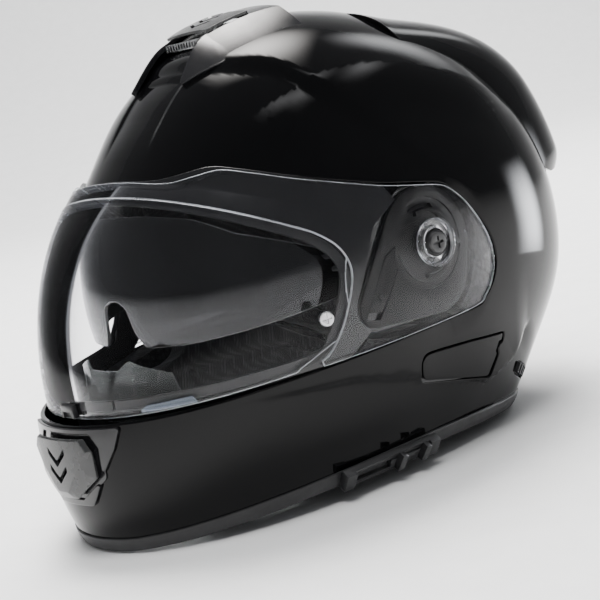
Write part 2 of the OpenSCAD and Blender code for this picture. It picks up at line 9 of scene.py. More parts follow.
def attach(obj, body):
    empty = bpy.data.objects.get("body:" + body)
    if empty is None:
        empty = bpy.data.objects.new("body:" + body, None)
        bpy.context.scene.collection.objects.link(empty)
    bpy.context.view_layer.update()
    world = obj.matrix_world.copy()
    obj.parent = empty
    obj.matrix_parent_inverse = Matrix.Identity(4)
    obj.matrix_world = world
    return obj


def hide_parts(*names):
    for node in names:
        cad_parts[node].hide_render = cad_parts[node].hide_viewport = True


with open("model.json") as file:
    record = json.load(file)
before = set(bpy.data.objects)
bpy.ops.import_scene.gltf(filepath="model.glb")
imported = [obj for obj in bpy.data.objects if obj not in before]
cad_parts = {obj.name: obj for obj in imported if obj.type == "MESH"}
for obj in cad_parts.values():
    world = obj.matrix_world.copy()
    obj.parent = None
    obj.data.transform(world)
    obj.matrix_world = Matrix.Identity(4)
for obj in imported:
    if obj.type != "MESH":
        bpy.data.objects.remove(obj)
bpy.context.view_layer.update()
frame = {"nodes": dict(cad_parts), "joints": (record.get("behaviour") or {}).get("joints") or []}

MM = 0.001

# Shapes are worked out in millimetres: x to the wearer's left, y backward from the visor's pivot axis,
# z up from the surface the helmet rests on. piece() moves them into the frame.
JOINTS = {j["name"]: j for j in frame["joints"]}
PIVOT_Y = JOINTS["visor_lift"]["pos_m"][1] / MM
PIVOT_Z = JOINTS["visor_lift"]["pos_m"][2] / MM
SUN_Y = JOINTS["sun_visor_swing"]["pos_m"][1] / MM - PIVOT_Y
SUN_Z = JOINTS["sun_visor_swing"]["pos_m"][2] / MM

# ---------------------------------------------------------------- the helmet's surfaces

# The shell's reach from the pivot axis, by direction: 0 degrees is forward, 90 is up. The reaches, the
# squareness and the camera were fitted to the photograph, then rounded.
DIRECTIONS = [-60, -35, -15, 10, 32, 60, 90, 125, 160, 195, 220, 240, 300]
REACHES = [225, 222, 193.5, 160.5, 142, 141.5, 144.5, 151, 163.5, 169, 163, 176, 225]
HALF_WIDTH = {"shell": 122, "visor": 124.9, "spoiler": 97}
SMOOTHING = 3.0
SUN_REACH, SUN_HALF, SUN_POWER = 132.5, 108.5, 0.87


def span(start, stop, step):
    """Directions in radians, given in degrees."""
    return np.radians(np.arange(start, stop, step))


def ease(s):
    s = np.clip(s, 0, 1)
    return s * s * (3 - 2 * s)


def reach_table():
    """The shell's reach each quarter degree, as a closed smooth curve through the given reaches."""
    count = len(DIRECTIONS) - 1
    angle = np.arange(-60, 300, 0.25)
    cell = np.clip(np.searchsorted(DIRECTIONS, angle, "right") - 1, 0, count - 1)
    turn = [DIRECTIONS[-2] - 360] + DIRECTIONS + [DIRECTIONS[1] + 360]
    value = [REACHES[-2]] + REACHES + [REACHES[1]]
    slope = np.array([(value[i + 2] - value[i]) / (turn[i + 2] - turn[i]) for i in range(count + 1)])
    low, high = np.array(DIRECTIONS)[cell], np.array(DIRECTIONS)[cell + 1]
    h = high - low
    s = (angle - low) / h
    reach = (np.array(REACHES)[cell] * (2 * s**3 - 3 * s * s + 1)
             + slope[cell] * h * (s**3 - 2 * s * s + s)
             + np.array(REACHES)[cell + 1] * (3 * s * s - 2 * s**3)
             + slope[cell + 1] * h * (s**3 - s * s))
    waves = np.fft.rfft(reach)
    k = np.arange(len(waves))
    waves *= np.exp(-0.5 * (k * math.radians(SMOOTHING))**2)
    return np.fft.irfft(waves, len(reach))


REACH_TABLE = reach_table()


def shell_reach(a):
    place = ((np.degrees(a) + 60) % 360) / 0.25
    low = np.floor(place).astype(int)
    part = place - low
    n = len(REACH_TABLE)
    return REACH_TABLE[low % n] * (1 - part) + REACH_TABLE[(low + 1) % n] * part


def visor_line(q):
    return 173.1 - 0.91 * q


def visor_reach(a):
    q = (np.degrees(a) + 180) % 360 - 180
    top = visor_line(24) - 5.5 * 0.85
    return np.select(
        [q < -60, q < 24, q < 29.5],
        [visor_line(-60) - 53 * ease((-60 - q) / 120), visor_line(q), visor_line(24) - (q - 24) * 0.85],
        top + 28 * ease((q - 62) / 118))


def spoiler_reach(a):
    q = np.degrees(a) % 360
    return shell_reach(a) - 4 + 26.5 * ease((q - 112) / 44) * (1 - ease((q - 172) / 12))


def squareness(a):
    c, s = np.cos(a - math.radians(9.7)), np.sin(a - math.radians(9.7))
    return (2.16 * np.maximum(c, 0)**2 + 2.9 * np.maximum(-c, 0)**2
            + 2.3 * np.maximum(s, 0)**2 + 1.85 * np.maximum(-s, 0)**2)


def law(kind, a):
    """The reach and squareness of a surface in the directions a."""
    if kind == "shell":
        return shell_reach(a), squareness(a)
    if kind == "visor":
        return visor_reach(a), np.full_like(a, 2.13)
    return spoiler_reach(a), np.full_like(a, 4.0)


def skin(kind, a, t, off=0.0):
    """Points of a surface: a turns about the pivot axis, t runs from -90 degrees to 90 across it."""
    r, n = law(kind, a)
    c = np.cos(t)**(2 / n)
    s = np.sign(t) * np.abs(np.sin(t))**(2 / n)
    rc = (r + off) * c
    return np.stack([(HALF_WIDTH[kind] + off) * s, -rc * np.cos(a), PIVOT_Z + rc * np.sin(a)], -1)


def height_over(kind, p):
    """How far points stand outside a surface, measured along their line from the axis."""
    y, z = p[..., 1], p[..., 2] - PIVOT_Z
    rho = np.hypot(y, z)
    r, n = law(kind, np.arctan2(z, -y))
    size = ((np.abs(p[..., 0]) / HALF_WIDTH[kind])**n + (rho / r)**n)**(1 / n)
    return np.linalg.norm(np.stack([p[..., 0], y, z], -1), axis=-1) * (1 - 1 / np.maximum(size, 1e-6))


def solved(kind, want, along, x, low, high, off):
    """Points at width x whose height or depth is what is wanted, found by halving."""
    a0, a1 = np.full_like(x, math.radians(low)), np.full_like(x, math.radians(high))
    for _ in range(36):
        a = (a0 + a1) / 2
        r, n = law(kind, a)
        rc = (r + off) * np.maximum(1 - np.minimum(np.abs(x) / (HALF_WIDTH[kind] + off), 1)**n, 0)**(1 / n)
        value = -rc * np.cos(a) if along == "y" else rc * np.sin(a)
        below = value < want
        a0, a1 = np.where(below, a, a0), np.where(below, a1, a)
    return np.stack([x, -rc * np.cos(a), PIVOT_Z + rc * np.sin(a)], -1)


def from_above(x, y, off=0.0):
    return solved("shell", y, "y", x, 20, 170, off)


def from_front(x, z, off=0.0, kind="shell"):
    return solved(kind, z - PIVOT_Z, "z", x, -80, 80, off)


def from_behind(x, z, off=0.0):
    return solved("shell", PIVOT_Z - z, "z", x, 110, 250, off)


def from_side(y, z, off=0.0, kind="shell"):
    r, n = law(kind, np.arctan2(z - PIVOT_Z, -y))
    share = np.minimum(np.hypot(y, z - PIVOT_Z) / (r + off), 1)
    x = (HALF_WIDTH[kind] + off) * (1 - share**n)**(1 / n)
    return np.stack([x, y, z], -1)


# ---------------------------------------------------------------- outlines

def rounded(points, radius=3.0, steps=5):
    """A polygon with its corners rounded; radius may be one number or one for each corner."""
    points = np.array(points, float)
    radii = np.broadcast_to(radius, len(points))
    out = []
    for i, corner in enumerate(points):
        before, after = points[i - 1] - corner, points[(i + 1) % len(points)] - corner
        lb, la = np.linalg.norm(before), np.linalg.norm(after)
        before, after = before / lb, after / la
        half = math.acos(np.clip(before @ after, -1, 1)) / 2
        cut = min(radii[i] / max(math.tan(half), 1e-6), 0.48 * lb, 0.48 * la)
        if cut < 0.05 or half > 1.5:
            out.append(corner)
            continue
        for k in range(steps + 1):
            s = k / steps
            out.append((1 - s)**2 * (corner + before * cut) + 2 * s * (1 - s) * corner
                       + s * s * (corner + after * cut))
    return np.array(out)


def distance_to(points, px, py):
    """Signed distance of places to a closed outline: negative inside it."""
    points = np.array(points, float)
    shape = px.shape
    px, py = px.ravel(), py.ravel()
    best = np.full(px.shape, 1e9)
    inside = np.zeros(px.shape, bool)
    for i in range(len(points)):
        ax, ay = points[i - 1]
        bx, by = points[i]
        dx, dy = bx - ax, by - ay
        length = dx * dx + dy * dy
        if length < 1e-9:
            continue
        s = np.clip(((px - ax) * dx + (py - ay) * dy) / length, 0, 1)
        best = np.minimum(best, (px - ax - s * dx)**2 + (py - ay - s * dy)**2)
        crosses = (ay > py) != (by > py)
        with np.errstate(divide="ignore", invalid="ignore"):
            inside ^= crosses & (px < ax + (py - ay) * dx / (dy if dy else 1e-9))
    best = np.sqrt(best)
    return np.where(inside, -best, best).reshape(shape)


def side_distance(outline, p):
    """Signed distance of points to an outline drawn from the side."""
    return distance_to(outline, p[..., 1], p[..., 2])


def along_line(points, px, py):
    """Distance to an open line, positive on its left, and the share of the way along it."""
    points = np.array(points, float)
    best = np.full(px.shape, 1e9)
    signed = np.zeros(px.shape)
    share = np.zeros(px.shape)
    run = np.concatenate([[0], np.cumsum(np.linalg.norm(np.diff(points, axis=0), axis=1))])
    for i in range(len(points) - 1):
        a, d = points[i], points[i + 1] - points[i]
        length = float(d @ d)
        s = np.clip(((px - a[0]) * d[0] + (py - a[1]) * d[1]) / length, 0, 1)
        ex, ey = px - a[0] - s * d[0], py - a[1] - s * d[1]
        near = np.hypot(ex, ey)
        side = np.sign(d[0] * ey - d[1] * ex)
        closer = near < best
        best = np.where(closer, near, best)
        signed = np.where(closer, side * near, signed)
        share = np.where(closer, (run[i] + s * math.sqrt(length)) / run[-1], share)
    return signed, share


def smooth_line(points, steps=6):
    """An open line through the points as a smooth curve."""
    p = np.array(points, float)
    p = np.vstack([2 * p[0] - p[1], p, 2 * p[-1] - p[-2]])
    out = []
    for i in range(1, len(p) - 2):
        for k in range(steps):
            s = k / steps
            out.append(0.5 * (2 * p[i] + (p[i + 1] - p[i - 1]) * s
                              + (2 * p[i - 1] - 5 * p[i] + 4 * p[i + 1] - p[i + 2]) * s * s
                              + (3 * p[i] - p[i - 1] - 3 * p[i + 1] + p[i + 2]) * s**3))
    out.append(p[-2])
    return np.array(out)


def rim(y):
    return np.maximum(0, 10 * (1 - ((y + 37) / 142)**2))


# drawn from the side, as y and z
VISOR_EDGE = np.vstack([smooth_line([
    [-186, 76], [-164, 76.5], [-136, 78], [-99, 80], [-36, 82], [24, 83.5], [34, 87], [42, 94],
    [46.5, 103], [47.5, 112], [45.5, 121], [40, 132], [32, 144], [24, 152], [15, 157.5], [-5, 162],
    [-29, 167.5], [-67, 180.5], [-88, 190], [-99, 195], [-108, 194.5], [-119, 193.6],
    [-128, 198.5]], 4), [[-230, 260], [-230, 72]]])
WINDOW_EDGE = np.vstack([smooth_line([
    [-186, 76], [-136, 79], [-90, 83], [-76, 92], [-66, 108], [-59, 126], [-62, 140], [-72, 151],
    [-84, 159], [-122, 183], [-135, 191]], 5), [[-230, 250], [-230, 70]]])
EYEPORT_EDGE = np.vstack([smooth_line([
    [-164, 84], [-90, 87], [-78, 95], [-69, 109], [-63, 126], [-66, 138], [-76, 149], [-86, 156],
    [-122, 180], [-136, 189.5]], 5), [[-230, 240], [-230, 84]]])
COVER_EDGE = rounded([[-19, 51.6], [-19, 66.6], [20, 63.5], [50, 60], [47.5, 55.4], [45.7, 56.2],
                      [42.6, 50.6], [44.3, 49.8], [36, 37], [-9, 49]],
                     [6.6, 7, 30, 1.2, 0.5, 0.4, 0.4, 0.5, 2, 7])
POCKET_EDGE = rounded([[-36, 146], [-10, 160.5], [14, 157.5], [30, 142], [34, 124], [30, 104], [16, 90],
                       [-6, 87.5], [-50, 90.5], [-58, 98], [-57, 108]], 12)
EXHAUST_CENTRE, EXHAUST_TILT, EXHAUST_SIZE = (80, 27), -28, (16.8, 6.8)
# drawn from above, as x and y
VENT_OUTER = [[-27.5, -77], [27.5, -77], [43, -58], [50, -36], [56, -3], [56, 40], [-56, 40], [-56, -3],
              [-50, -36], [-43, -58]]
VENT_PLATE = [[-26.5, -77.5], [26.5, -77.5], [20.5, -49], [37, -3], [49, 30], [-49, 30], [-37, -3],
              [-20.5, -49]]
VENT_MOUTH = [[-25.3, -90], [25.3, -90], [25.3, -78], [18.6, -48.6], [-18.6, -48.6], [-25.3, -78]]
SLIDER_EDGE = rounded([[-21, -47.5], [21, -47.5], [30, -21], [-30, -21]], 1.5)
# drawn from the front, as x and z
PANEL_EDGE = rounded([[-45, 74], [45, 74], [40, 62], [22, 36], [17, 30], [-17, 30], [-22, 36], [-40, 62]], 2)
CHIN_FACE = [[-22.5, 69], [22.5, 69], [27, 63], [5, 39.5], [-5, 39.5], [-27, 63]]
CHIN_EDGE = rounded([[-24, 70], [24, 70], [29, 63], [28.5, 47], [10, 35], [-10, 35], [-28.5, 47],
                     [-29, 63]], 1.2)


def chevron(x, z, low):
    """Signed distance to a V-shaped slot whose tip is at height low, opening upward."""
    arms = [[-8.5, low + 7], [0, low], [8.5, low + 7], [8.5, low + 10.2], [0, low + 3.2], [-8.5, low + 10.2]]
    return distance_to(arms, x, z)


# ---------------------------------------------------------------- mesh building

def normal_at(surf, u, v, du=2e-3, dv=2e-3):
    p = surf(u, v)
    across = surf(u + du, v) - surf(u - du, v)
    along = surf(u, v + dv) - surf(u, v - dv)
    n = np.cross(across, along)
    length = np.linalg.norm(n, axis=-1, keepdims=True)
    return n / np.maximum(length, 1e-12), p


def patch(surf, us, vs, sd, thick=2.0, edge=0.8, steps=3, loop_u=False, delta=2e-3, outward=True,
          slots=(0, 0)):
    """A sheet with rounded edges, cut to sd(points, u, v) < 0 out of the surface surf(u, v)."""
    U, V = np.meshgrid(np.array(us, float), np.array(vs, float), indexing="ij")
    nu, nv = U.shape

    def reading(u, v):
        return sd(surf(u, v), u, v) + edge

    D = reading(U, V)
    P = surf(U, V)
    cell_u = np.linalg.norm(np.gradient(P, axis=0), axis=-1)
    cell_v = np.linalg.norm(np.gradient(P, axis=1), axis=-1)
    hu, hv = abs(us[1] - us[0]), abs(vs[1] - vs[0])
    cell = np.minimum(cell_u, cell_v)
    near = np.abs(D) < 0.38 * cell
    for _ in range(3):
        eu, ev = hu * 0.05, hv * 0.05
        gu = (reading(U[near] + eu, V[near]) - reading(U[near] - eu, V[near])) / 0.1 / cell_u[near].clip(1e-6)
        gv = (reading(U[near], V[near] + ev) - reading(U[near], V[near] - ev)) / 0.1 / cell_v[near].clip(1e-6)
        g2 = (gu**2 + gv**2).clip(0.05)
        step = -D[near] / g2
        limit = 0.5 * cell[near]
        size = np.abs(step) * np.sqrt(gu**2 + gv**2)
        step = step * np.minimum(1, limit / np.maximum(size, 1e-9))
        U[near] += step * gu / cell_u[near].clip(1e-6) * hu
        V[near] += step * gv / cell_v[near].clip(1e-6) * hv
        D[near] = reading(U[near], V[near])
    D[near & (np.abs(D) < 0.08 * cell)] = 0

    us_out, vs_out = [], []
    ids = -np.ones(nu * nv, int)
    fu, fv, fd = U.ravel(), V.ravel(), D.ravel()
    crossing, pairs = {}, []

    def vertex(i):
        if ids[i] < 0:
            ids[i] = len(us_out)
            us_out.append(fu[i])
            vs_out.append(fv[i])
        return ids[i]

    def cross(i, j):
        key = (min(i, j), max(i, j))
        if key not in crossing:
            crossing[key] = len(us_out)
            pairs.append((*key, len(us_out)))
            us_out.append(0.0)
            vs_out.append(0.0)
        return crossing[key]

    faces = []
    rows = nu if loop_u else nu - 1
    for i in range(rows):
        k = (i + 1) % nu
        da, db = D[i], D[k]
        lowest = np.minimum(np.minimum(da[:-1], da[1:]), np.minimum(db[:-1], db[1:]))
        for j in np.nonzero(lowest < 0)[0]:
            ring = [i * nv + j, k * nv + j, k * nv + j + 1, i * nv + j + 1]
            loop = []
            for a, b in zip(ring, ring[1:] + ring[:1]):
                if fd[a] <= 0:
                    loop.append(vertex(a))
                if (fd[a] < 0 < fd[b]) or (fd[b] < 0 < fd[a]):
                    loop.append(cross(a, b))
            if len(loop) >= 3:
                faces.append(loop)
    us_out, vs_out = np.array(us_out), np.array(vs_out)
    if pairs:
        i, j, place = np.array(pairs).T
        u0, u1, v0, v1, d0, d1 = fu[i], fu[j].copy(), fv[i], fv[j], fd[i].copy(), fd[j].copy()
        if loop_u:
            u1 += np.where(u1 - u0 > math.pi, -2 * math.pi, np.where(u0 - u1 > math.pi, 2 * math.pi, 0))
        s0, s1 = np.zeros(len(i)), np.ones(len(i))
        for _ in range(5):
            s = s0 + (s1 - s0) * d0 / (d0 - d1)
            d = reading(u0 + s * (u1 - u0), v0 + s * (v1 - v0))
            first = (d < 0) == (d0 < 0)
            s0, d0 = np.where(first, s, s0), np.where(first, d, d0)
            s1, d1 = np.where(first, s1, s), np.where(first, d1, d)
            d1 = np.where(d0 == d1, d1 + 1e-9, d1)
        us_out[place], vs_out[place] = u0 + s * (u1 - u0), v0 + s * (v1 - v0)
    normals, points = normal_at(surf, us_out, vs_out, delta, delta)
    faces_out = np.mean(np.sum(normals * (points - [0, 0, PIVOT_Z]), 1)) > 0
    if faces_out != outward:
        normals = -normals
        faces = [f[::-1] for f in faces]
    return thicken(points, faces, normals, thick, edge, steps, slots)


def thicken(points, faces, normals, thick, edge, steps, slots):
    """Gives a sheet its rounded rim, its wall and its back, with a normal for every corner.
    slots holds the material numbers of its broad faces and of its rim."""
    directed = set()
    for f in faces:
        for a, b in zip(f, f[1:] + f[:1]):
            directed.add((a, b))
    rim_edges = [(a, b) for a, b in sorted(directed) if (b, a) not in directed]
    outs = {}
    for a, b in rim_edges:
        direction = points[b] - points[a]
        for i in (a, b):
            o = np.cross(direction, normals[i])
            outs[i] = outs.get(i, 0) + o / max(np.linalg.norm(o), 1e-9)
    verts = [p for p in points]
    corner_normals = [[normals[i] for i in f] for f in faces]
    all_faces = [list(f) for f in faces]
    rim_ids = sorted(outs)
    previous = {i: i for i in rim_ids}
    before = {i: normals[i] for i in rim_ids}
    unit = {}
    for i in rim_ids:
        o = outs[i] - normals[i] * (outs[i] @ normals[i])
        unit[i] = o / max(np.linalg.norm(o), 1e-9)
    for k in range(1, steps + 2):
        bend = min(k, steps) / steps * math.pi / 2
        current, now = {}, {}
        for i in rim_ids:
            down = thick if k > steps else edge * (1 - math.cos(bend))
            current[i] = len(verts)
            verts.append(points[i] + unit[i] * edge * math.sin(bend) - normals[i] * down)
            now[i] = normals[i] * math.cos(bend) + unit[i] * math.sin(bend)
        for a, b in rim_edges:
            all_faces.append([previous[b], previous[a], current[a], current[b]])
            corner_normals.append([before[b], before[a], now[a], now[b]])
        previous, before = current, now
    walls = len(all_faces)
    base = len(verts)
    verts.extend(points - normals * thick)
    for f in faces:
        all_faces.append([base + i for i in f[::-1]])
        corner_normals.append([-normals[i] for i in f[::-1]])
    for a, b in rim_edges:
        all_faces.append([previous[b], previous[a], base + a, base + b])
        corner_normals.append([-normals[b], -normals[a], -normals[a], -normals[b]])
    broad, edging = slots
    marks = [broad] * len(faces) + [edging] * (walls - len(faces)) + [broad] * (len(all_faces) - walls)
    return np.array(verts), all_faces, corner_normals, marks


def mirrored(part):
    verts, faces, normals, marks = part
    flip = np.array([-1, 1, 1])
    return verts * flip, [f[::-1] for f in faces], [[n * flip for n in ns[::-1]] for ns in normals], marks


def both(part):
    return [part, mirrored(part)]


def piece(name, parts, material, body="helmet", replaces=()):
    """One object made of mesh parts, riding on a body and standing for CAD nodes."""
    verts, faces, normals, marks = [], [], [], []
    materials = material if isinstance(material, list) else [material]
    for part in parts:
        base = len(verts)
        verts.extend((part[0] + [0, PIVOT_Y, 0]) * MM)
        faces.extend([[base + i for i in f] for f in part[1]])
        normals.extend(part[2])
        marks.extend(part[3])
    mesh = bpy.data.meshes.new(name)
    mesh.from_pydata([tuple(v) for v in verts], [], faces)
    mesh.polygons.foreach_set("use_smooth", [True] * len(faces))
    mesh.polygons.foreach_set("material_index", marks)
    for m in materials:
        mesh.materials.append(m)
    mesh.update()
    flat = np.concatenate([np.array(n) for n in normals])
    flat /= np.maximum(np.linalg.norm(flat, axis=1, keepdims=True), 1e-9)
    mesh.normals_split_custom_set([tuple(n) for n in flat])
    obj = bpy.data.objects.new(name, mesh)
    bpy.context.scene.collection.objects.link(obj)
    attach(obj, body)
    if replaces:
        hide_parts(*replaces)


# ---------------------------------------------------------------- materials

def new_material(name):
    m = bpy.data.materials.new(name)
    m.use_nodes = True
    m.node_tree.nodes.clear()
    return m, m.node_tree.nodes, m.node_tree.links


def new_node(nodes, kind, sockets=()):
    """A shader node with constants set on the named sockets."""
    node = nodes.new("ShaderNode" + kind)
    for name, value in dict(sockets).items():
        node.inputs[name].default_value = value
    return node


def noise(nodes, links, scale, detail=3.0):
    n = new_node(nodes, "TexNoise", {"Scale": scale, "Detail": detail, "Roughness": 0.5})
    links.new(new_node(nodes, "TexCoord").outputs["Object"], n.inputs["Vector"])
    return n.outputs["Fac"]


def spread(nodes, links, source, low, high):
    """Maps a noise value onto a narrow band of a shader's input."""
    m = new_node(nodes, "MapRange", {"From Min": 0.35, "From Max": 0.65, "To Min": low, "To Max": high})
    links.new(source, m.inputs["Value"])
    return m.outputs["Result"]


def tinted(nodes, links, source, dark, light):
    """Maps a noise value onto a colour between two."""
    ramp = new_node(nodes, "ValToRGB")
    for element, position, colour in zip(ramp.color_ramp.elements, (0.3, 0.7), (dark, light)):
        element.position, element.color = position, (*colour, 1)
    links.new(source, ramp.inputs["Fac"])
    return ramp.outputs["Color"]


def principled(name, sockets=()):
    """A material of one principled shader, with what is needed to add to it."""
    m, nodes, links = new_material(name)
    b = new_node(nodes, "BsdfPrincipled", sockets)
    out = new_node(nodes, "OutputMaterial")
    links.new(b.outputs[0], out.inputs[0])
    return m, nodes, links, b


def bumped(nodes, links, shader, height, strength, depth, invert=False):
    bumps = new_node(nodes, "Bump", {"Strength": strength, "Distance": depth})
    bumps.invert = invert
    links.new(height, bumps.inputs["Height"])
    links.new(bumps.outputs[0], shader.inputs["Normal"])


def solid(name, dark, light, rough, grain=900, bump=0.05, depth=0.0002, metallic=0.0, patchiness=40,
          specular=0.5):
    """A moulded or painted surface: two close colours, uneven gloss and a fine grain."""
    m, nodes, links, b = principled(name, {"Metallic": metallic, "Specular IOR Level": specular})
    links.new(tinted(nodes, links, noise(nodes, links, patchiness), dark, light), b.inputs["Base Color"])
    links.new(spread(nodes, links, noise(nodes, links, patchiness * 2.3, 5), *rough), b.inputs["Roughness"])
    if bump:
        bumped(nodes, links, b, noise(nodes, links, grain, 2), bump, depth)
    return m


def clear(name, tint, ior=1.5, rough=0.015, haze_and_highlight=0.0, haze_and_highlight_colour=(0.5, 0.5, 0.52)):
    """A clear sheet that doesn't bend what is seen through it: it passes light and mirrors by angle."""
    m, nodes, links = new_material(name)
    out = new_node(nodes, "OutputMaterial")
    through = new_node(nodes, "BsdfTransparent", {"Color": (*tint, 1)})
    mirror = new_node(nodes, "BsdfGlossy", {"Color": (0.95, 0.95, 0.97, 1)})
    smears = noise(nodes, links, 60, 4)
    links.new(spread(nodes, links, smears, rough, rough * 2.5), mirror.inputs["Roughness"])
    fresnel = new_node(nodes, "Fresnel", {"IOR": ior})
    mix = new_node(nodes, "MixShader")
    for source, socket in zip((fresnel, through, mirror), mix.inputs):
        links.new(source.outputs[0], socket)
    last = mix
    # The haze mixes in a flat diffuse colour: dust or frosting on most sheets, but on the visor rims it is a
    # painted highlight.
    if haze_and_highlight:
        haze_and_highlight_shader = new_node(nodes, "BsdfDiffuse", {"Color": (*haze_and_highlight_colour, 1)})
        last = new_node(nodes, "MixShader")
        links.new(spread(nodes, links, noise(nodes, links, 25, 5), haze_and_highlight * 0.6, haze_and_highlight * 1.4), last.inputs[0])
        links.new(mix.outputs[0], last.inputs[1])
        links.new(haze_and_highlight_shader.outputs[0], last.inputs[2])
    links.new(last.outputs[0], out.inputs[0])
    return m


def woven(name, dark, light, pitch, depth=0.0004, sheen=0.35):
    """A knitted or woven cloth: two crossed waves give the threads."""
    m, nodes, links, b = principled(name, {"Sheen Weight": sheen, "Sheen Roughness": 0.5})
    coords = new_node(nodes, "TexCoord")
    threads = new_node(nodes, "Math")
    threads.operation = "MULTIPLY"
    for turn, socket in zip((0, math.pi / 2), threads.inputs):
        mapping = new_node(nodes, "Mapping", {"Rotation": (0.6, 0.5, turn)})
        wave = new_node(nodes, "TexWave", {"Scale": 1 / pitch * 0.16, "Distortion": 0.8})
        links.new(coords.outputs["Object"], mapping.inputs["Vector"])
        links.new(mapping.outputs[0], wave.inputs["Vector"])
        links.new(wave.outputs["Fac"], socket)
    links.new(tinted(nodes, links, threads.outputs[0], dark, light), b.inputs["Base Color"])
    links.new(spread(nodes, links, noise(nodes, links, 30), 0.75, 0.9), b.inputs["Roughness"])
    bumped(nodes, links, b, threads.outputs[0], 0.5, depth)
    return m


def beads(name):
    """Expanded foam: packed round beads under a thin black paint."""
    m, nodes, links, b = principled(name)
    cells = new_node(nodes, "TexVoronoi", {"Scale": 320})
    links.new(new_node(nodes, "TexCoord").outputs["Object"], cells.inputs["Vector"])
    links.new(tinted(nodes, links, cells.outputs["Distance"], (0.035, 0.035, 0.038), (0.012, 0.012, 0.013)),
              b.inputs["Base Color"])
    links.new(spread(nodes, links, noise(nodes, links, 50), 0.75, 0.92), b.inputs["Roughness"])
    bumped(nodes, links, b, cells.outputs["Distance"], 0.6, 0.0008, invert=True)
    return m


GLOSS = solid("gloss_black_paint", (0.0012, 0.0012, 0.0014), (0.002, 0.002, 0.0023), (0.05, 0.085),
              grain=260, bump=0.012, depth=0.0004, patchiness=14, specular=0.16)
SATIN = solid("satin_black_plastic", (0.011, 0.011, 0.012), (0.017, 0.017, 0.018), (0.3, 0.4), grain=1500,
              bump=0.12, depth=0.00012)
FINE = solid("fine_black_plastic", (0.006, 0.006, 0.007), (0.01, 0.01, 0.011), (0.16, 0.24), grain=1200,
             bump=0.06, depth=0.0001)
PLATE = solid("matt_black_plate", (0.004, 0.004, 0.0045), (0.007, 0.007, 0.0075), (0.3, 0.42), grain=1200,
              bump=0.08, depth=0.0001, specular=0.22)
GREY = solid("satin_grey_plastic", (0.017, 0.0175, 0.018), (0.024, 0.0245, 0.025), (0.22, 0.3), grain=1600,
             bump=0.08, depth=0.0001)
RUBBER = solid("trim_rubber", (0.013, 0.013, 0.014), (0.021, 0.021, 0.022), (0.42, 0.55), grain=1300,
               bump=0.25, depth=0.00015)
STEEL = solid("brushed_steel", (0.5, 0.5, 0.51), (0.62, 0.62, 0.63), (0.2, 0.36), grain=2500, bump=0.1,
              depth=0.00008, metallic=1.0)
RED = solid("red_plastic", (0.42, 0.012, 0.01), (0.5, 0.02, 0.014), (0.22, 0.32), grain=1500, bump=0.08,
            depth=0.0001)
CLEAR = clear("clear_visor_sheet", (0.98, 0.982, 0.988), ior=1.17, haze_and_highlight=0.002)
# The rims' pale diffuse haze is a painted highlight: it makes the clear visor's edges read as bright lines.
CLEAR_RIM_PAINTED_HIGHLIGHT = clear("clear_visor_rim_painted_highlight", (0.8, 0.82, 0.85), ior=1.7, rough=0.12, haze_and_highlight=0.3,
                   haze_and_highlight_colour=(0.8, 0.83, 0.88))
CLEAR_TAB = clear("clear_visor_tab", (0.75, 0.8, 0.88), ior=1.7, rough=0.06, haze_and_highlight=0.12,
                  haze_and_highlight_colour=(0.7, 0.78, 0.9))
CLEAR_PART = clear("clear_moulding", (0.9, 0.905, 0.91), ior=1.4, rough=0.03, haze_and_highlight=0.012)
SMOKE = clear("smoke_visor_sheet", (0.13, 0.13, 0.135), ior=1.5, rough=0.03, haze_and_highlight=0.004)
# The smoke visor's rims carry a pale diffuse haze too, a painted highlight along its edges.
SMOKE_RIM_PAINTED_HIGHLIGHT = clear("smoke_visor_rim_painted_highlight", (0.3, 0.3, 0.31), ior=1.7, rough=0.12, haze_and_highlight=0.2,
                   haze_and_highlight_colour=(0.6, 0.6, 0.62))
FROST = clear("breath_guard_sheet", (0.42, 0.44, 0.43), rough=0.12, haze_and_highlight=0.22, haze_and_highlight_colour=(0.35, 0.37, 0.36))
KNIT = woven("knitted_lining", (0.012, 0.012, 0.013), (0.045, 0.045, 0.048), 0.0011)
WEBBING = woven("black_webbing", (0.01, 0.01, 0.01), (0.035, 0.035, 0.036), 0.0016, depth=0.0006, sheen=0.15)
BEADS = beads("expanded_foam")

# ---------------------------------------------------------------- camera, light and floor

CAMERA_AT = Vector((0.7385, -0.5656, 0.2508))
CAMERA_TURN = Euler([math.radians(angle) for angle in (81.97148, 12.31991, 50.27778)])


def make_camera():
    data = bpy.data.cameras.new("camera")
    data.sensor_width = 36
    data.lens = 90.7
    data.shift_x = -0.008
    data.shift_y = -0.0726
    data.clip_end = 50
    cam = bpy.data.objects.new("camera", data)
    bpy.context.scene.collection.objects.link(cam)
    cam.matrix_world = Matrix.Translation(CAMERA_AT) @ CAMERA_TURN.to_matrix().to_4x4()
    bpy.context.scene.camera = cam


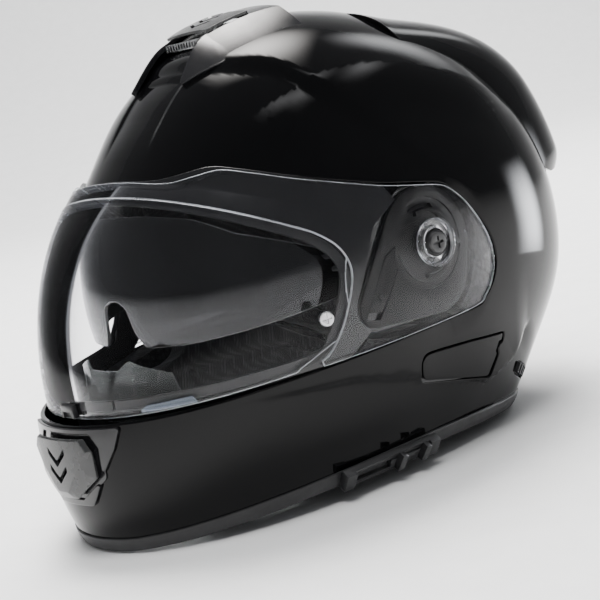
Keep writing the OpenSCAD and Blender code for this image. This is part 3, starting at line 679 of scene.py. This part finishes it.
def softbox(name, place, target, size, power, colour=(1, 1, 1), fade=0.3, mirrored=True, lights=True):
    """A flat lamp whose light fades toward its edges, as a diffuser's does."""
    data = bpy.data.lights.new(name, "AREA")
    data.shape = "RECTANGLE"
    data.size, data.size_y = size
    data.energy = power
    data.color = colour
    data.use_nodes = True
    nodes, links = data.node_tree.nodes, data.node_tree.links
    glow = next(n for n in nodes if n.type == "EMISSION")
    place_on = nodes.new("ShaderNodeNewGeometry")
    split = nodes.new("ShaderNodeSeparateXYZ")
    links.new(place_on.outputs["Parametric"], split.inputs[0])
    strength = None
    for axis in ("X", "Y"):
        for low, high in ((0.0, fade), (1.0, 1 - fade)):
            rise = nodes.new("ShaderNodeMapRange")
            rise.interpolation_type = "SMOOTHSTEP"
            rise.inputs["From Min"].default_value = low
            rise.inputs["From Max"].default_value = high
            links.new(split.outputs[axis], rise.inputs["Value"])
            if strength is None:
                strength = rise.outputs["Result"]
                continue
            join = nodes.new("ShaderNodeMath")
            join.operation = "MULTIPLY"
            links.new(strength, join.inputs[0])
            links.new(rise.outputs["Result"], join.inputs[1])
            strength = join.outputs[0]
    links.new(strength, glow.inputs["Strength"])
    lamp = bpy.data.objects.new(name, data)
    bpy.context.scene.collection.objects.link(lamp)
    lamp.visible_glossy = mirrored
    lamp.visible_diffuse = lights
    lamp.location = place
    direction = Vector(target) - Vector(place)
    lamp.rotation_euler = direction.to_track_quat("-Z", "Y").to_euler()
    return lamp


def toward(azimuth, elevation, distance):
    """A place seen from the helmet's middle at an azimuth from the front and an elevation."""
    a, e = math.radians(azimuth), math.radians(elevation)
    return (distance * math.cos(e) * math.sin(a), -distance * math.cos(e) * math.cos(a),
            0.13 + distance * math.sin(e))


def make_world(strength, colour=(0.9, 0.92, 0.95)):
    world = bpy.data.worlds.new("studio")
    world.use_nodes = True
    back = world.node_tree.nodes["Background"]
    back.inputs["Color"].default_value = (*colour, 1)
    back.inputs["Strength"].default_value = strength
    bpy.context.scene.world = world


def make_floor():
    """A pale floor that sweeps up into a backdrop behind the helmet."""
    away = math.radians(142.5)
    ahead, side = Vector((math.cos(away), math.sin(away), 0)), Vector((-math.sin(away), math.cos(away), 0))
    mesh = bpy.data.meshes.new("floor")
    verts, faces = [], []
    steps = [-6 + 0.25 * i for i in range(33)]
    rows = [(d, 0.0) for d in steps] + [(2 + math.sin(a) * 1.5, 1.5 - math.cos(a) * 1.5) for a in
                                        [math.radians(5 * k) for k in range(1, 19)]] + [(3.5, 4.0)]
    for d, z in rows:
        for k in range(-24, 25):
            p = ahead * d + side * (k * 0.25)
            verts.append((p.x, p.y, z - 0.0005))
    for i in range(len(rows) - 1):
        for k in range(48):
            a = i * 49 + k
            faces.append((a, a + 1, a + 50, a + 49))
    mesh.from_pydata(verts, [], faces)
    mesh.polygons.foreach_set("use_smooth", [True] * len(faces))
    mesh.materials.append(solid("pale_floor", (0.86, 0.86, 0.86), (0.89, 0.89, 0.89), (0.6, 0.7), bump=0.0,
                                specular=0.1))
    floor = bpy.data.objects.new("floor", mesh)
    bpy.context.scene.collection.objects.link(floor)


make_camera()
make_floor()
make_world(0.3)
MIDDLE = (0, 0, 0.13)
# The shoulder lights and the side strip are only seen mirrored in the paint and light nothing; the fill
# and the washes light things and aren't mirrored.
softbox("broad_top", toward(-126, 68, 1.9), MIDDLE, (1.35, 1.35), 175, (1, 0.97, 0.94), 0.5)
softbox("rear_top", toward(-169, 40, 1.9), MIDDLE, (0.5, 1.3), 12, (0.97, 0.98, 1), 0.5)
for k, (az, el) in enumerate(((78, 66), (112, 62), (146, 48))):
    softbox(f"shoulder_{k}", toward(az, el, 1.8), MIDDLE, (1.25, 0.6), 15, (0.98, 0.98, 1), 0.6, lights=False)
softbox("side_strip", (0.215, 0.45, 0.07), (0.115, 0.095, 0.11), (0.17, 0.24), 4.2, (0.94, 0.96, 1), 0.45,
        lights=False)
softbox("front_fill", toward(-35, 32, 1.8), MIDDLE, (0.8, 0.5), 7, (1, 1, 1), 0.4, mirrored=False)
softbox("floor_wash", toward(-128, 60, 2.4), (-0.6, 0.8, 0), (2.0, 2.0), 210, (1, 1, 1), 0.2, mirrored=False)
softbox("near_wash", toward(52, 70, 2.4), (0.1, -0.1, 0), (1.4, 1.4), 85, (1, 1, 1), 0.2, mirrored=False)


# ---------------------------------------------------------------- shell

SHELL_THICK = 2.6
CREASE_HEIGHT, TUCK_DEPTH, LEDGE_HEIGHT, BROW_DEPTH = 3.0, 2.0, 2.6, 1.6
VISOR_LIFT = math.radians(32)
SINK, SINK_AT_CREASE = 1.0, 3.2     # how far the shell sinks under the lifted visor, and more at the crease
POCKET_FLOOR = 114.2                # the base plates' pockets lie this far out from the middle
CREASE = smooth_line([[-100, 188], [-92, 200], [-78, 214], [-60, 224], [-34, 231], [-8, 232], [20, 228],
                      [50, 219], [84, 205], [112, 186]])
SIDE_CREASE = [[-150, 76], [-69, 68], [-30, 58.5], [-14, 51], [36, 35.5], [60, 42], [82, 62]]


def raised(p):
    """How far the shell's styling stands off its plain surface: a shoulder on each side of the crown,
    tucked-in flanks, a flat brow, and a hollow for the lifted visor."""
    d, s = along_line(CREASE, p[..., 1], p[..., 2])
    ends = ease(s / 0.3) * (1 - ease((s - 0.8) / 0.2))
    shoulder = CREASE_HEIGHT * np.where(d > 0, np.exp(-np.abs(d) / 20), 1 - ease(-d / 30))
    # The shell sinks where the lifted visor passes over it. The outline is turned about a point PIVOT_Y
    # behind the visor's axis, not about the axis, so the sunk zone lies a few millimetres to the rear.
    y, z = p[..., 1] - PIVOT_Y, p[..., 2] - PIVOT_Z
    c, w = math.cos(VISOR_LIFT), math.sin(VISOR_LIFT)
    swept = distance_to(VISOR_EDGE, y * c - z * w + PIVOT_Y, z * c + y * w + PIVOT_Z)
    sink = ease((9 - swept) / 12) * (
        SINK + SINK_AT_CREASE * np.exp(-np.where(d > 0, d / 36, d / 25)**2))
    d2, s2 = along_line(SIDE_CREASE, p[..., 1], p[..., 2])
    ends2 = ease(s2 / 0.3) * (1 - ease((s2 - 0.93) / 0.07))
    tuck = ease((-d2 + 2) / 5) * (1 - ease((-d2 - 4) / 34))
    ledge = np.where(d2 > 0, np.exp(-np.abs(d2) / 12), 1 - ease(-d2 / 4)) * ease((p[..., 1] - 5) / 45) * (
        1 - ease((p[..., 1] - 62) / 16))
    x, y = np.abs(p[..., 0]), p[..., 1]
    brow = BROW_DEPTH * ease((25 - x) / 4) * ease((y + 114) / 22) * (1 - ease((y + 74) / 4)) * (
        p[..., 2] > 180)
    return shoulder * ends - TUCK_DEPTH * tuck * ends2 + LEDGE_HEIGHT * ledge - brow - sink


def styled_shell(a, t, off=0.0):
    p = skin("shell", a, t, off)
    return skin("shell", a, t, off + raised(p))


def visor_zone(p):
    return side_distance(VISOR_EDGE, p)


def boxed(p, centre, tilt, size, grow=0.0):
    """Signed distance to a tilted rectangle drawn from the side."""
    c, s = math.cos(math.radians(tilt)), math.sin(math.radians(tilt))
    y, z = p[..., 1] - centre[0], p[..., 2] - centre[1]
    along, up = y * c + z * s, -y * s + z * c
    return np.maximum(np.abs(along) - size[0] / 2, np.abs(up) - size[1] / 2) - grow


def shell_region(p, u, v):
    y, z = p[..., 1], p[..., 2]
    above = rim(y) + 8.0 - z
    gap = 1.0 - visor_zone(p)
    flap = 0.75 - distance_to(COVER_EDGE, y, z)
    vent = -boxed(p, EXHAUST_CENTRE, EXHAUST_TILT, EXHAUST_SIZE, 0.6)
    return np.maximum(np.maximum(above, gap), np.maximum(flap, vent))


TURN = span(-60, 300, 1.0)
ACROSS = span(-86, 86.1, 1.0)


def make_shell():
    body = patch(styled_shell, TURN, ACROSS, shell_region, thick=SHELL_THICK, edge=1.0,
                 loop_u=True)
    seat = patch(lambda a, t: skin("visor", a, t, -4.4), span(-35, 60, 1.25),
                 span(-87.5, 87.6, 1.25),
                 lambda p, u, v: np.maximum(np.maximum(
                     visor_zone(p) - 2.2, -side_distance(EYEPORT_EDGE, p)), -side_distance(POCKET_EDGE, p)),
                 thick=2.6, edge=0.5, steps=2)
    recess = patch(lambda y, z: from_side(y, z, -2.3), np.arange(-22, 56, 2.0), np.arange(30, 73, 2.0),
                   lambda p, u, v: side_distance(COVER_EDGE, p) - 2.2, thick=1.8, edge=0.3, steps=1,
                   delta=0.05)
    pocket = patch(lambda y, z: np.stack([np.full_like(y, POCKET_FLOOR), y, z], -1), np.arange(-64, 42, 3.0),
                   np.arange(80, 170, 3.0), lambda p, u, v: side_distance(POCKET_EDGE, p) - 1.5, thick=2,
                   edge=0.4, steps=1, delta=0.05)
    piece("outer_shell_skin", [body], GLOSS, replaces=["outer_shell"])
    piece("outer_shell_seat", [seat] + both(recess) + both(pocket), FINE, replaces=["outer_shell"])


def make_rim_trim():
    """A matte rubber edge: a band up the outside of the shell and a lip under it."""
    def band(p, u, v):
        y, z = p[..., 1], p[..., 2]
        return np.maximum(rim(y) - z, z - rim(y) - 8.6)

    def bulged(a, t):
        p = skin("shell", a, t)
        up = p[..., 2] - rim(p[..., 1])
        return skin("shell", a, t, 1.15 + 0.45 * ease((up - 1) / 3) * (1 - ease((up - 6) / 2)))

    def lip(p, u, v):
        y, z = p[..., 1], p[..., 2]
        return np.maximum(rim(y) - z, z - rim(y) - 3.4)

    low = span(195, 335, 0.7)
    wide = span(-86, 86.1, 1.2)
    outer = patch(bulged, low, wide, band, thick=1.6, edge=0.7, steps=3)
    under = patch(lambda a, t: skin("shell", a, t, 0.2), low, wide, lip, thick=8.4, edge=0.8, steps=2)
    piece("rim_trim_rubber", [outer, under], RUBBER, replaces=["rim_trim"])


HUB_HOLE = 13.2


def make_visor():
    def window(p, u, v):
        return np.maximum(side_distance(WINDOW_EDGE, p), visor_zone(p))

    def flange(p, u, v):
        y, z = p[..., 1], p[..., 2]
        hub = HUB_HOLE - np.hypot(y, z - PIVOT_Z)
        return np.maximum(np.maximum(visor_zone(p), -distance_to(WINDOW_EDGE, y, z)), np.where(
            np.abs(p[..., 0]) > 90, hub, -50))

    turn = span(-24, 38, 1.0)
    across = span(-89, 89.1, 1.25)
    # Slots (0, 1) put the rim material on the rounded edges; its pale haze is a painted highlight along them.
    pane = patch(lambda a, t: skin("visor", a, t), turn, span(-70, 70.1, 1.0), window,
                 thick=2.1, edge=0.75, steps=3, slots=(0, 1))
    side = patch(lambda a, t: skin("visor", a, t, -0.7), span(-60, 300, 1.25), across, flange,
                 thick=1.5, edge=0.55, steps=3, loop_u=True, slots=(0, 1))

    def tab(p, u, v):
        return distance_to(rounded([[52, 78], [80, 79.5], [76, 83.5], [56, 82.5]], 1.2), p[..., 0], p[..., 2])

    lift = patch(lambda x, z: from_front(x, z, 2.6 - 0.5 * np.abs(z - 80), kind="visor"),
                 np.arange(50, 82, 0.7), np.arange(76, 86, 0.5), tab, thick=2.4, edge=0.6, delta=0.05,
                 slots=(2, 2))
    lines = [[[18, 153.5], [29.5, 125]],
             [[-6, 122], [-17, 90.5]],
             [[-33, 165], [-41.5, 145], [-69, 86]],
             [[-6.5, 91], [0, 98.5], [35, 103]],
             [[-5, 131.5], [-14.8, 133], [-18, 130], [-42, 98], [-40, 95.5], [-30, 89]],
             [[-5, 131.5], [-5.6, 127], [-3, 120], [5.3, 114.7]]]

    def rib(p, y, z):
        d = np.abs(np.hypot(y, z - PIVOT_Z) - 27) - 0.3
        d = np.where(y > 24, d, 9.0)
        d = np.minimum(d, np.abs(np.hypot(y, z - PIVOT_Z) - 16.5) - 0.2)
        for line in lines:
            d = np.minimum(d, np.abs(along_line(smooth_line(line, 4), y, z)[0]) - 0.28)
        return d + 0.12

    # The ribs are all rim material, so its pale haze, a painted highlight, runs along each rib.
    ribs = patch(lambda y, z: from_side(y, z, -2.35, "visor"), np.arange(-72, 42, 0.5),
                 np.arange(82, 168, 0.5), rib, thick=0.7, edge=0.12, steps=1, delta=0.05, slots=(1, 1))
    piece("clear_visor", [pane, side, lift] + both(ribs), [CLEAR, CLEAR_RIM_PAINTED_HIGHLIGHT, CLEAR_TAB], body="visor",
          replaces=["visor"])


def make_sun_visor():
    def sun(a, t, off=0.0):
        r = (SUN_REACH + off) * np.cos(t)**SUN_POWER
        x = (SUN_HALF + off) * np.sign(t) * np.abs(np.sin(t))**SUN_POWER
        return np.stack([x, SUN_Y - r * np.cos(a), SUN_Z + r * np.sin(a)], -1)

    side = rounded([[-170, 104], [-128, 104], [-90, 108], [-50, 113], [-4, 116.5], [2, 122], [-4, 128.5],
                    [-60, 140], [-100, 160], [-112, 171], [-125, 178], [-170, 190]], 5)
    nose = rounded([[-27, 86], [27, 86], [25, 98], [15, 112], [11, 128], [4, 131.5], [-4, 131.5], [-11, 128],
                    [-15, 112], [-25, 98]], [1, 1, 6, 9, 6, 5, 5, 6, 9, 6])

    def region(p, u, v):
        front = np.where(p[..., 1] < -60, -distance_to(nose, p[..., 0], p[..., 2]), -50)
        return np.maximum(distance_to(side, p[..., 1], p[..., 2]), front)

    # Slots (0, 1) give the rounded edges the smoke rim material, whose pale haze is a painted highlight.
    shade = patch(sun, span(-14, 30, 0.8), span(-86, 86.1, 0.8), region,
                  thick=2.0, edge=0.7, steps=3, slots=(0, 1))
    piece("smoke_sun_visor", [shade], [SMOKE, SMOKE_RIM_PAINTED_HIGHLIGHT], body="sun_visor", replaces=["sun_visor"])


def make_gasket():
    def ring(p, u, v):
        d = side_distance(EYEPORT_EDGE, p)
        return np.maximum(d - 3.8, -1.8 - d)

    def wall(p, u, v):
        d = side_distance(EYEPORT_EDGE, p)
        return np.maximum(d + 0.1, -1.9 - d)

    turn = span(-26, 44, 1.0)
    across = span(-72, 72.1, 1.0)
    lip = patch(lambda a, t: skin("visor", a, t, -2.9), turn, across, ring, thick=1.4, edge=0.5, steps=2)
    inner = patch(lambda a, t: skin("visor", a, t, -3.4), turn, across, wall, thick=7.6, edge=0.4, steps=2)
    piece("eyeport_seal", [lip, inner], RUBBER, replaces=["eyeport_gasket"])


# ---------------------------------------------------------------- vents, covers and spoiler

# heights over the shell; the sliders ride over the panels they move across, and the tray runs under one
VENT_HEIGHT, SLIDER_HEIGHT, TRAY_HEIGHT = 7.6, 9.5, 3.5
PANEL_HEIGHT, COVER_BASE, COVER_RISE = 2.2, 5.0, 2.6
DECK_HEIGHT = 141

def make_crown_vent():
    def height(x, y):
        lower = np.maximum(-distance_to(VENT_OUTER, x, y), 0)
        plate = np.maximum(distance_to(VENT_PLATE, x, y), 0)
        full = VENT_HEIGHT * ease((y + 82) / 30)
        rise = full * np.minimum(lower / np.maximum(lower + plate, 1e-6), 1)
        return np.maximum(rise, 0.15)

    def fairing(x, y):
        shape = from_above(x, y)
        return from_above(x, y, height(x, y)) * [0, 0, 1] + shape * [1, 1, 0]

    def cut(p, x, y):
        rear = y + 3
        mouth = -distance_to(VENT_MOUTH, x, y)
        opening = -(distance_to(SLIDER_EDGE, x, y) - 0.6)
        return np.maximum(np.maximum(distance_to(VENT_OUTER, x, y), rear), np.maximum(mouth, opening))

    xs, ys = np.arange(-58, 58.1, 0.8), np.arange(-79, 1, 0.8)
    hull = patch(fairing, xs, ys, cut, thick=3.0, edge=0.45, steps=3, delta=0.12)

    def slots(p, x, y):
        d = distance_to(SLIDER_EDGE, x, y)
        for k in range(3):
            tip = -42 + k * 7
            arm = [[-10, tip + 6], [0, tip], [10, tip + 6], [10, tip + 8.4], [0, tip + 2.4], [-10, tip + 8.4]]
            d = np.maximum(d, -distance_to(arm, x, y))
        return d

    plate = patch(lambda x, y: from_above(x, y, SLIDER_HEIGHT), np.arange(-31, 31.1, 0.6),
                  np.arange(-49, -19.9, 0.6), slots, thick=1.6, edge=0.35, steps=2, delta=0.12)
    tray = patch(lambda x, y: from_above(x, y, TRAY_HEIGHT), np.arange(-31, 31.1, 1.2),
                 np.arange(-49, -19.9, 1.2), lambda p, x, y: distance_to(SLIDER_EDGE, x, y) + 0.4, thick=1.2,
                 edge=0.2, steps=1, delta=0.12, slots=(1, 1))
    piece("crown_vent_fairing", [hull], [FINE], replaces=["top_vent_fairing"])
    piece("crown_vent_slider", [plate, tray], [GREY, FINE], body="top_vent",
          replaces=["top_vent_slider"])


def make_chin_vent():
    def panel_cut(p, x, z):
        return np.maximum(distance_to(PANEL_EDGE, x, z), -(distance_to(CHIN_EDGE, x, z) - 1.0))

    panel = patch(lambda x, z: from_front(x, z, PANEL_HEIGHT), np.arange(-46, 46.1, 0.9),
                  np.arange(28.5, 76, 0.9), panel_cut, thick=2.1, edge=0.6, steps=3, delta=0.12)
    floor = patch(lambda x, z: from_front(x, z, 0.9), np.arange(-38, 38.1, 1.5), np.arange(30, 74, 1.5),
                  lambda p, x, z: distance_to(CHIN_EDGE, x, z) - 2.2, thick=0.8, edge=0.2, steps=1,
                  delta=0.12)

    def bevelled(x, z):
        out = np.maximum(distance_to(CHIN_FACE, x, z), 0)
        rim_in = np.maximum(-distance_to(CHIN_EDGE, x, z), 0)
        return from_front(x, z, COVER_BASE + COVER_RISE * rim_in / np.maximum(rim_in + out, 1e-6))

    def slots(p, x, z):
        d = distance_to(CHIN_EDGE, x, z)
        for tip in (44.5, 54.0):
            d = np.maximum(d, -chevron(x, z, tip))
        return d

    cover = patch(bevelled, np.arange(-36, 36.1, 0.7), np.arange(31, 72, 0.7), slots, thick=2.2, edge=0.4,
                  steps=3, delta=0.15)
    piece("chin_panel", [panel, floor], [FINE], replaces=["chin_vent_panel"])
    piece("chin_vent_slider", [cover], [GREY], body="chin_vent", replaces=["chin_vent_cover"])


def make_side_covers():
    def cover(y, z):
        return from_side(y, z, raised(from_side(y, z)) * 0.3)

    part = patch(cover, np.arange(-20, 54, 0.9), np.arange(34, 70, 0.9),
                 lambda p, y, z: distance_to(COVER_EDGE, y, z), thick=1.8, edge=0.7, steps=4, delta=0.1)
    for side, shape in (("left", part), ("right", mirrored(part))):
        piece(f"{side}_side_cover", [shape], GLOSS, body=f"cover_{side}", replaces=[f"side_cover_{side}"])


SPOILER_CUT = [[30, 320], [46, 236], [70, 212], [102, 186], [122, 166], [136, 143], [150, 138], [260, 138],
               [260, 320]]


def make_spoiler():
    def region(p, u, v):
        over = -height_over("shell", p) - 0.8
        return np.maximum(over, distance_to(SPOILER_CUT, p[..., 1], p[..., 2]))

    wing = patch(lambda a, t: skin("spoiler", a, t), span(60, 190, 0.9),
                 span(-84, 84.1, 1.2), region, thick=4.0, edge=0.7, steps=4)

    def under(p, x, y):
        inside = height_over("spoiler", p) + 1.2
        return np.maximum(inside, -height_over("shell", p) - 0.6)

    deck = patch(lambda x, y: np.stack([x, y, np.full_like(x, DECK_HEIGHT)], -1), np.arange(-94, 94.1, 2.0),
                 np.arange(100, 192, 2.0), under, thick=1.5, edge=0.2, steps=1, delta=0.05, outward=False,
                 slots=(1, 1))
    piece("rear_wing", [wing, deck], [GLOSS, SATIN], replaces=["rear_spoiler"])


def make_rear_vents():
    edge = rounded([[-46, 128], [46, 128], [40, 140], [-40, 140]], 2)

    def region(p, x, z):
        d = distance_to(edge, x, z)
        for k in range(-3, 4):
            d = np.maximum(d, -np.maximum(np.abs(x - 11 * k) - 3.6, np.abs(z - 134) - 3.2))
        return d

    grille = patch(lambda x, z: from_behind(x, z, 2.8), np.arange(-47, 47.1, 0.8), np.arange(127, 141.1, 0.8),
                   region, thick=2.6, edge=0.5, steps=2, delta=0.1)
    floor = patch(lambda x, z: from_behind(x, z, 0.8), np.arange(-44, 44.1, 2), np.arange(129, 140, 2),
                  lambda p, x, z: distance_to(edge, x, z) + 1.5, thick=0.6, edge=0.2, steps=1, delta=0.1)
    piece("rear_exhaust_grille", [grille, floor], SATIN, replaces=["rear_vent_grille"])

    def louvre(p, y, z):
        d = boxed(p, EXHAUST_CENTRE, EXHAUST_TILT, EXHAUST_SIZE)
        for k in (-1, 0, 1):
            c, s = math.cos(math.radians(EXHAUST_TILT)), math.sin(math.radians(EXHAUST_TILT))
            centre = (EXHAUST_CENTRE[0] + 5 * k * c, EXHAUST_CENTRE[1] + 5 * k * s)
            d = np.maximum(d, -boxed(p, centre, EXHAUST_TILT, (3.2, 4.6)))
        return d

    ys, zs = np.arange(70, 91, 0.6), np.arange(17, 37, 0.6)
    slat = patch(lambda y, z: from_side(y, z, 0.5), ys, zs, louvre, thick=2.6, edge=0.4, steps=2, delta=0.1)
    back = patch(lambda y, z: from_side(y, z, -1.6), ys, zs,
                 lambda p, y, z: boxed(p, EXHAUST_CENTRE, EXHAUST_TILT, EXHAUST_SIZE), thick=1, edge=0.2,
                 steps=1, delta=0.1)
    piece("side_exhaust_louvres", both(slat) + both(back), SATIN, replaces=["side_exhausts"])


# ---------------------------------------------------------------- liners, pads and straps

def remeshed(source, voxel, name):
    """A copy of a CAD pad's solid, as an even mesh that cloth can swell."""
    obj = bpy.data.objects.new(name, source.data.copy())
    bpy.context.scene.collection.objects.link(obj)
    obj.data.materials.clear()
    even = obj.modifiers.new("even", "REMESH")
    even.mode = "VOXEL"
    even.voxel_size = voxel
    settle(obj)
    return obj


def settle(obj):
    """Replaces an object's mesh with what its modifiers make of it."""
    made = bpy.data.meshes.new_from_object(obj.evaluated_get(bpy.context.evaluated_depsgraph_get()))
    obj.modifiers.clear()
    obj.data = made


def coords(mesh):
    flat = np.empty(len(mesh.vertices) * 3)
    mesh.vertices.foreach_get("co", flat)
    return flat.reshape(-1, 3)


def soft_pad(name, node, body, voxel, shrink, cap, seam, twin=None):
    """Padding made by swelling a slightly smaller copy of the CAD pad as cloth, then sewing its seams."""
    obj = remeshed(frame["nodes"][node], voxel, name)
    mesh = obj.data
    start = coords(mesh)
    normals = np.array([v.normal for v in mesh.vertices])
    start = start - normals * shrink
    mesh.vertices.foreach_set("co", start.ravel())
    mesh.update()
    cloth = obj.modifiers.new("cloth", "CLOTH")
    cloth.settings.use_pressure = True
    cloth.settings.uniform_pressure_force = 4
    cloth.settings.effector_weights.gravity = 0
    cloth.settings.quality = 4
    cloth.point_cache.frame_start, cloth.point_cache.frame_end = 1, 20
    for step in range(1, 21):
        bpy.context.scene.frame_set(step)
    settle(obj)
    bpy.context.scene.frame_set(1)
    moved = coords(obj.data) - start
    length = np.linalg.norm(moved, axis=1, keepdims=True)
    kept = start + moved * np.minimum(1, cap / np.maximum(length, 1e-9))
    obj.data.vertices.foreach_set("co", kept.ravel())
    obj.data.update()
    finer = obj.modifiers.new("finer", "SUBSURF")
    finer.levels = finer.render_levels = 1
    settle(obj)
    place = coords(obj.data)
    normals = np.array([v.normal for v in obj.data.vertices])
    groove = seam(place / MM - [0, PIVOT_Y, 0])
    obj.data.vertices.foreach_set("co", (place - normals * groove[:, None] * MM).ravel())
    obj.data.polygons.foreach_set("use_smooth", [True] * len(obj.data.polygons))
    obj.data.materials.clear()
    obj.data.materials.append(KNIT)
    obj.data.update()
    made = [(obj, node)]
    if twin:
        other = bpy.data.objects.new(name.replace("left", "right"), obj.data.copy())
        bpy.context.scene.collection.objects.link(other)
        other.data.transform(Matrix.Scale(-1, 4, Vector((1, 0, 0))))
        other.data.flip_normals()
        made.append((other, twin))
    for shape, stands_for in made:
        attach(shape, body)
        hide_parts(stands_for)


def line_seam(points, depth, width):
    curve = smooth_line(points, 5)
    return lambda p: depth * np.exp(-(along_line(curve, p[:, 1], p[:, 2])[0] / width)**2)


def make_pads():
    soft_pad("cheek_pad_left_padding", "cheek_pad_left", "helmet", 0.0045, 0.0022, 0.005,
             lambda p: line_seam([[-98, 62], [-60, 64], [-30, 62], [20, 58], [58, 36]], 2.2, 2.4)(p)
             + line_seam([[-92, 34], [-50, 33], [10, 30], [52, 30]], 2.0, 2.2)(p), "cheek_pad_right")
    soft_pad("neck_roll_padding", "neck_roll", "helmet", 0.005, 0.002, 0.004,
             lambda p: 1.8 * np.exp(-((p[:, 2] - 18) / 2.2)**2))
    soft_pad("crown_padding", "crown_pad", "helmet", 0.006, 0.0016, 0.003,
             lambda p: 2.0 * np.exp(-((np.abs(p[:, 0]) - 34) / 3)**2) + 1.8 * np.exp(-((p[:, 1] + 20) / 3)**2)
             + 1.8 * np.exp(-((p[:, 1] - 50) / 3)**2))


make_shell()
make_rim_trim()
make_visor()
make_sun_visor()
make_gasket()
make_crown_vent()
make_chin_vent()
make_side_covers()
make_spoiler()
make_rear_vents()
make_pads()

# ---------------------------------------------------------------- carried-over CAD pieces

EDGE_ROUNDING = 0.0003


def refine(node, material):
    """Keeps a CAD piece's shape: welds it, rounds its edges a little and gives it its material."""
    obj = frame["nodes"][node]
    obj.data.materials.clear()
    obj.data.materials.append(material)
    weld = obj.modifiers.new("weld", "WELD")
    weld.merge_threshold = 0.00002
    round_off = obj.modifiers.new("round", "BEVEL")
    round_off.width = EDGE_ROUNDING
    round_off.segments = 2
    round_off.limit_method = "ANGLE"
    round_off.angle_limit = math.radians(35)
    round_off.harden_normals = True
    for polygon in obj.data.polygons:
        polygon.use_smooth = True


for node, material in {
        "visor_hubs": CLEAR_PART, "visor_latch": SATIN, "window_pins": STEEL, "chin_catch": SATIN,
        "base_plate_left": PLATE, "base_plate_right": PLATE, "pivot_screws": SATIN,
        "release_lever_left": PLATE, "release_lever_right": PLATE, "sun_visor_pivots": SATIN,
        "slider_track": RUBBER, "slider_thumb": SATIN, "top_vent_mesh": STEEL, "chin_vent_grille": SATIN,
        "breath_guard": FROST, "chin_curtain": WEBBING, "eps_liner": BEADS, "cheek_eps": BEADS,
        "chin_eps": BEADS, "strap_left": WEBBING, "strap_right": WEBBING, "strap_rivets": STEEL,
        "buckle_body": STEEL, "buckle_lever": RED, "buckle_pin": STEEL, "ratchet_tongue": FINE}.items():
    refine(node, material)
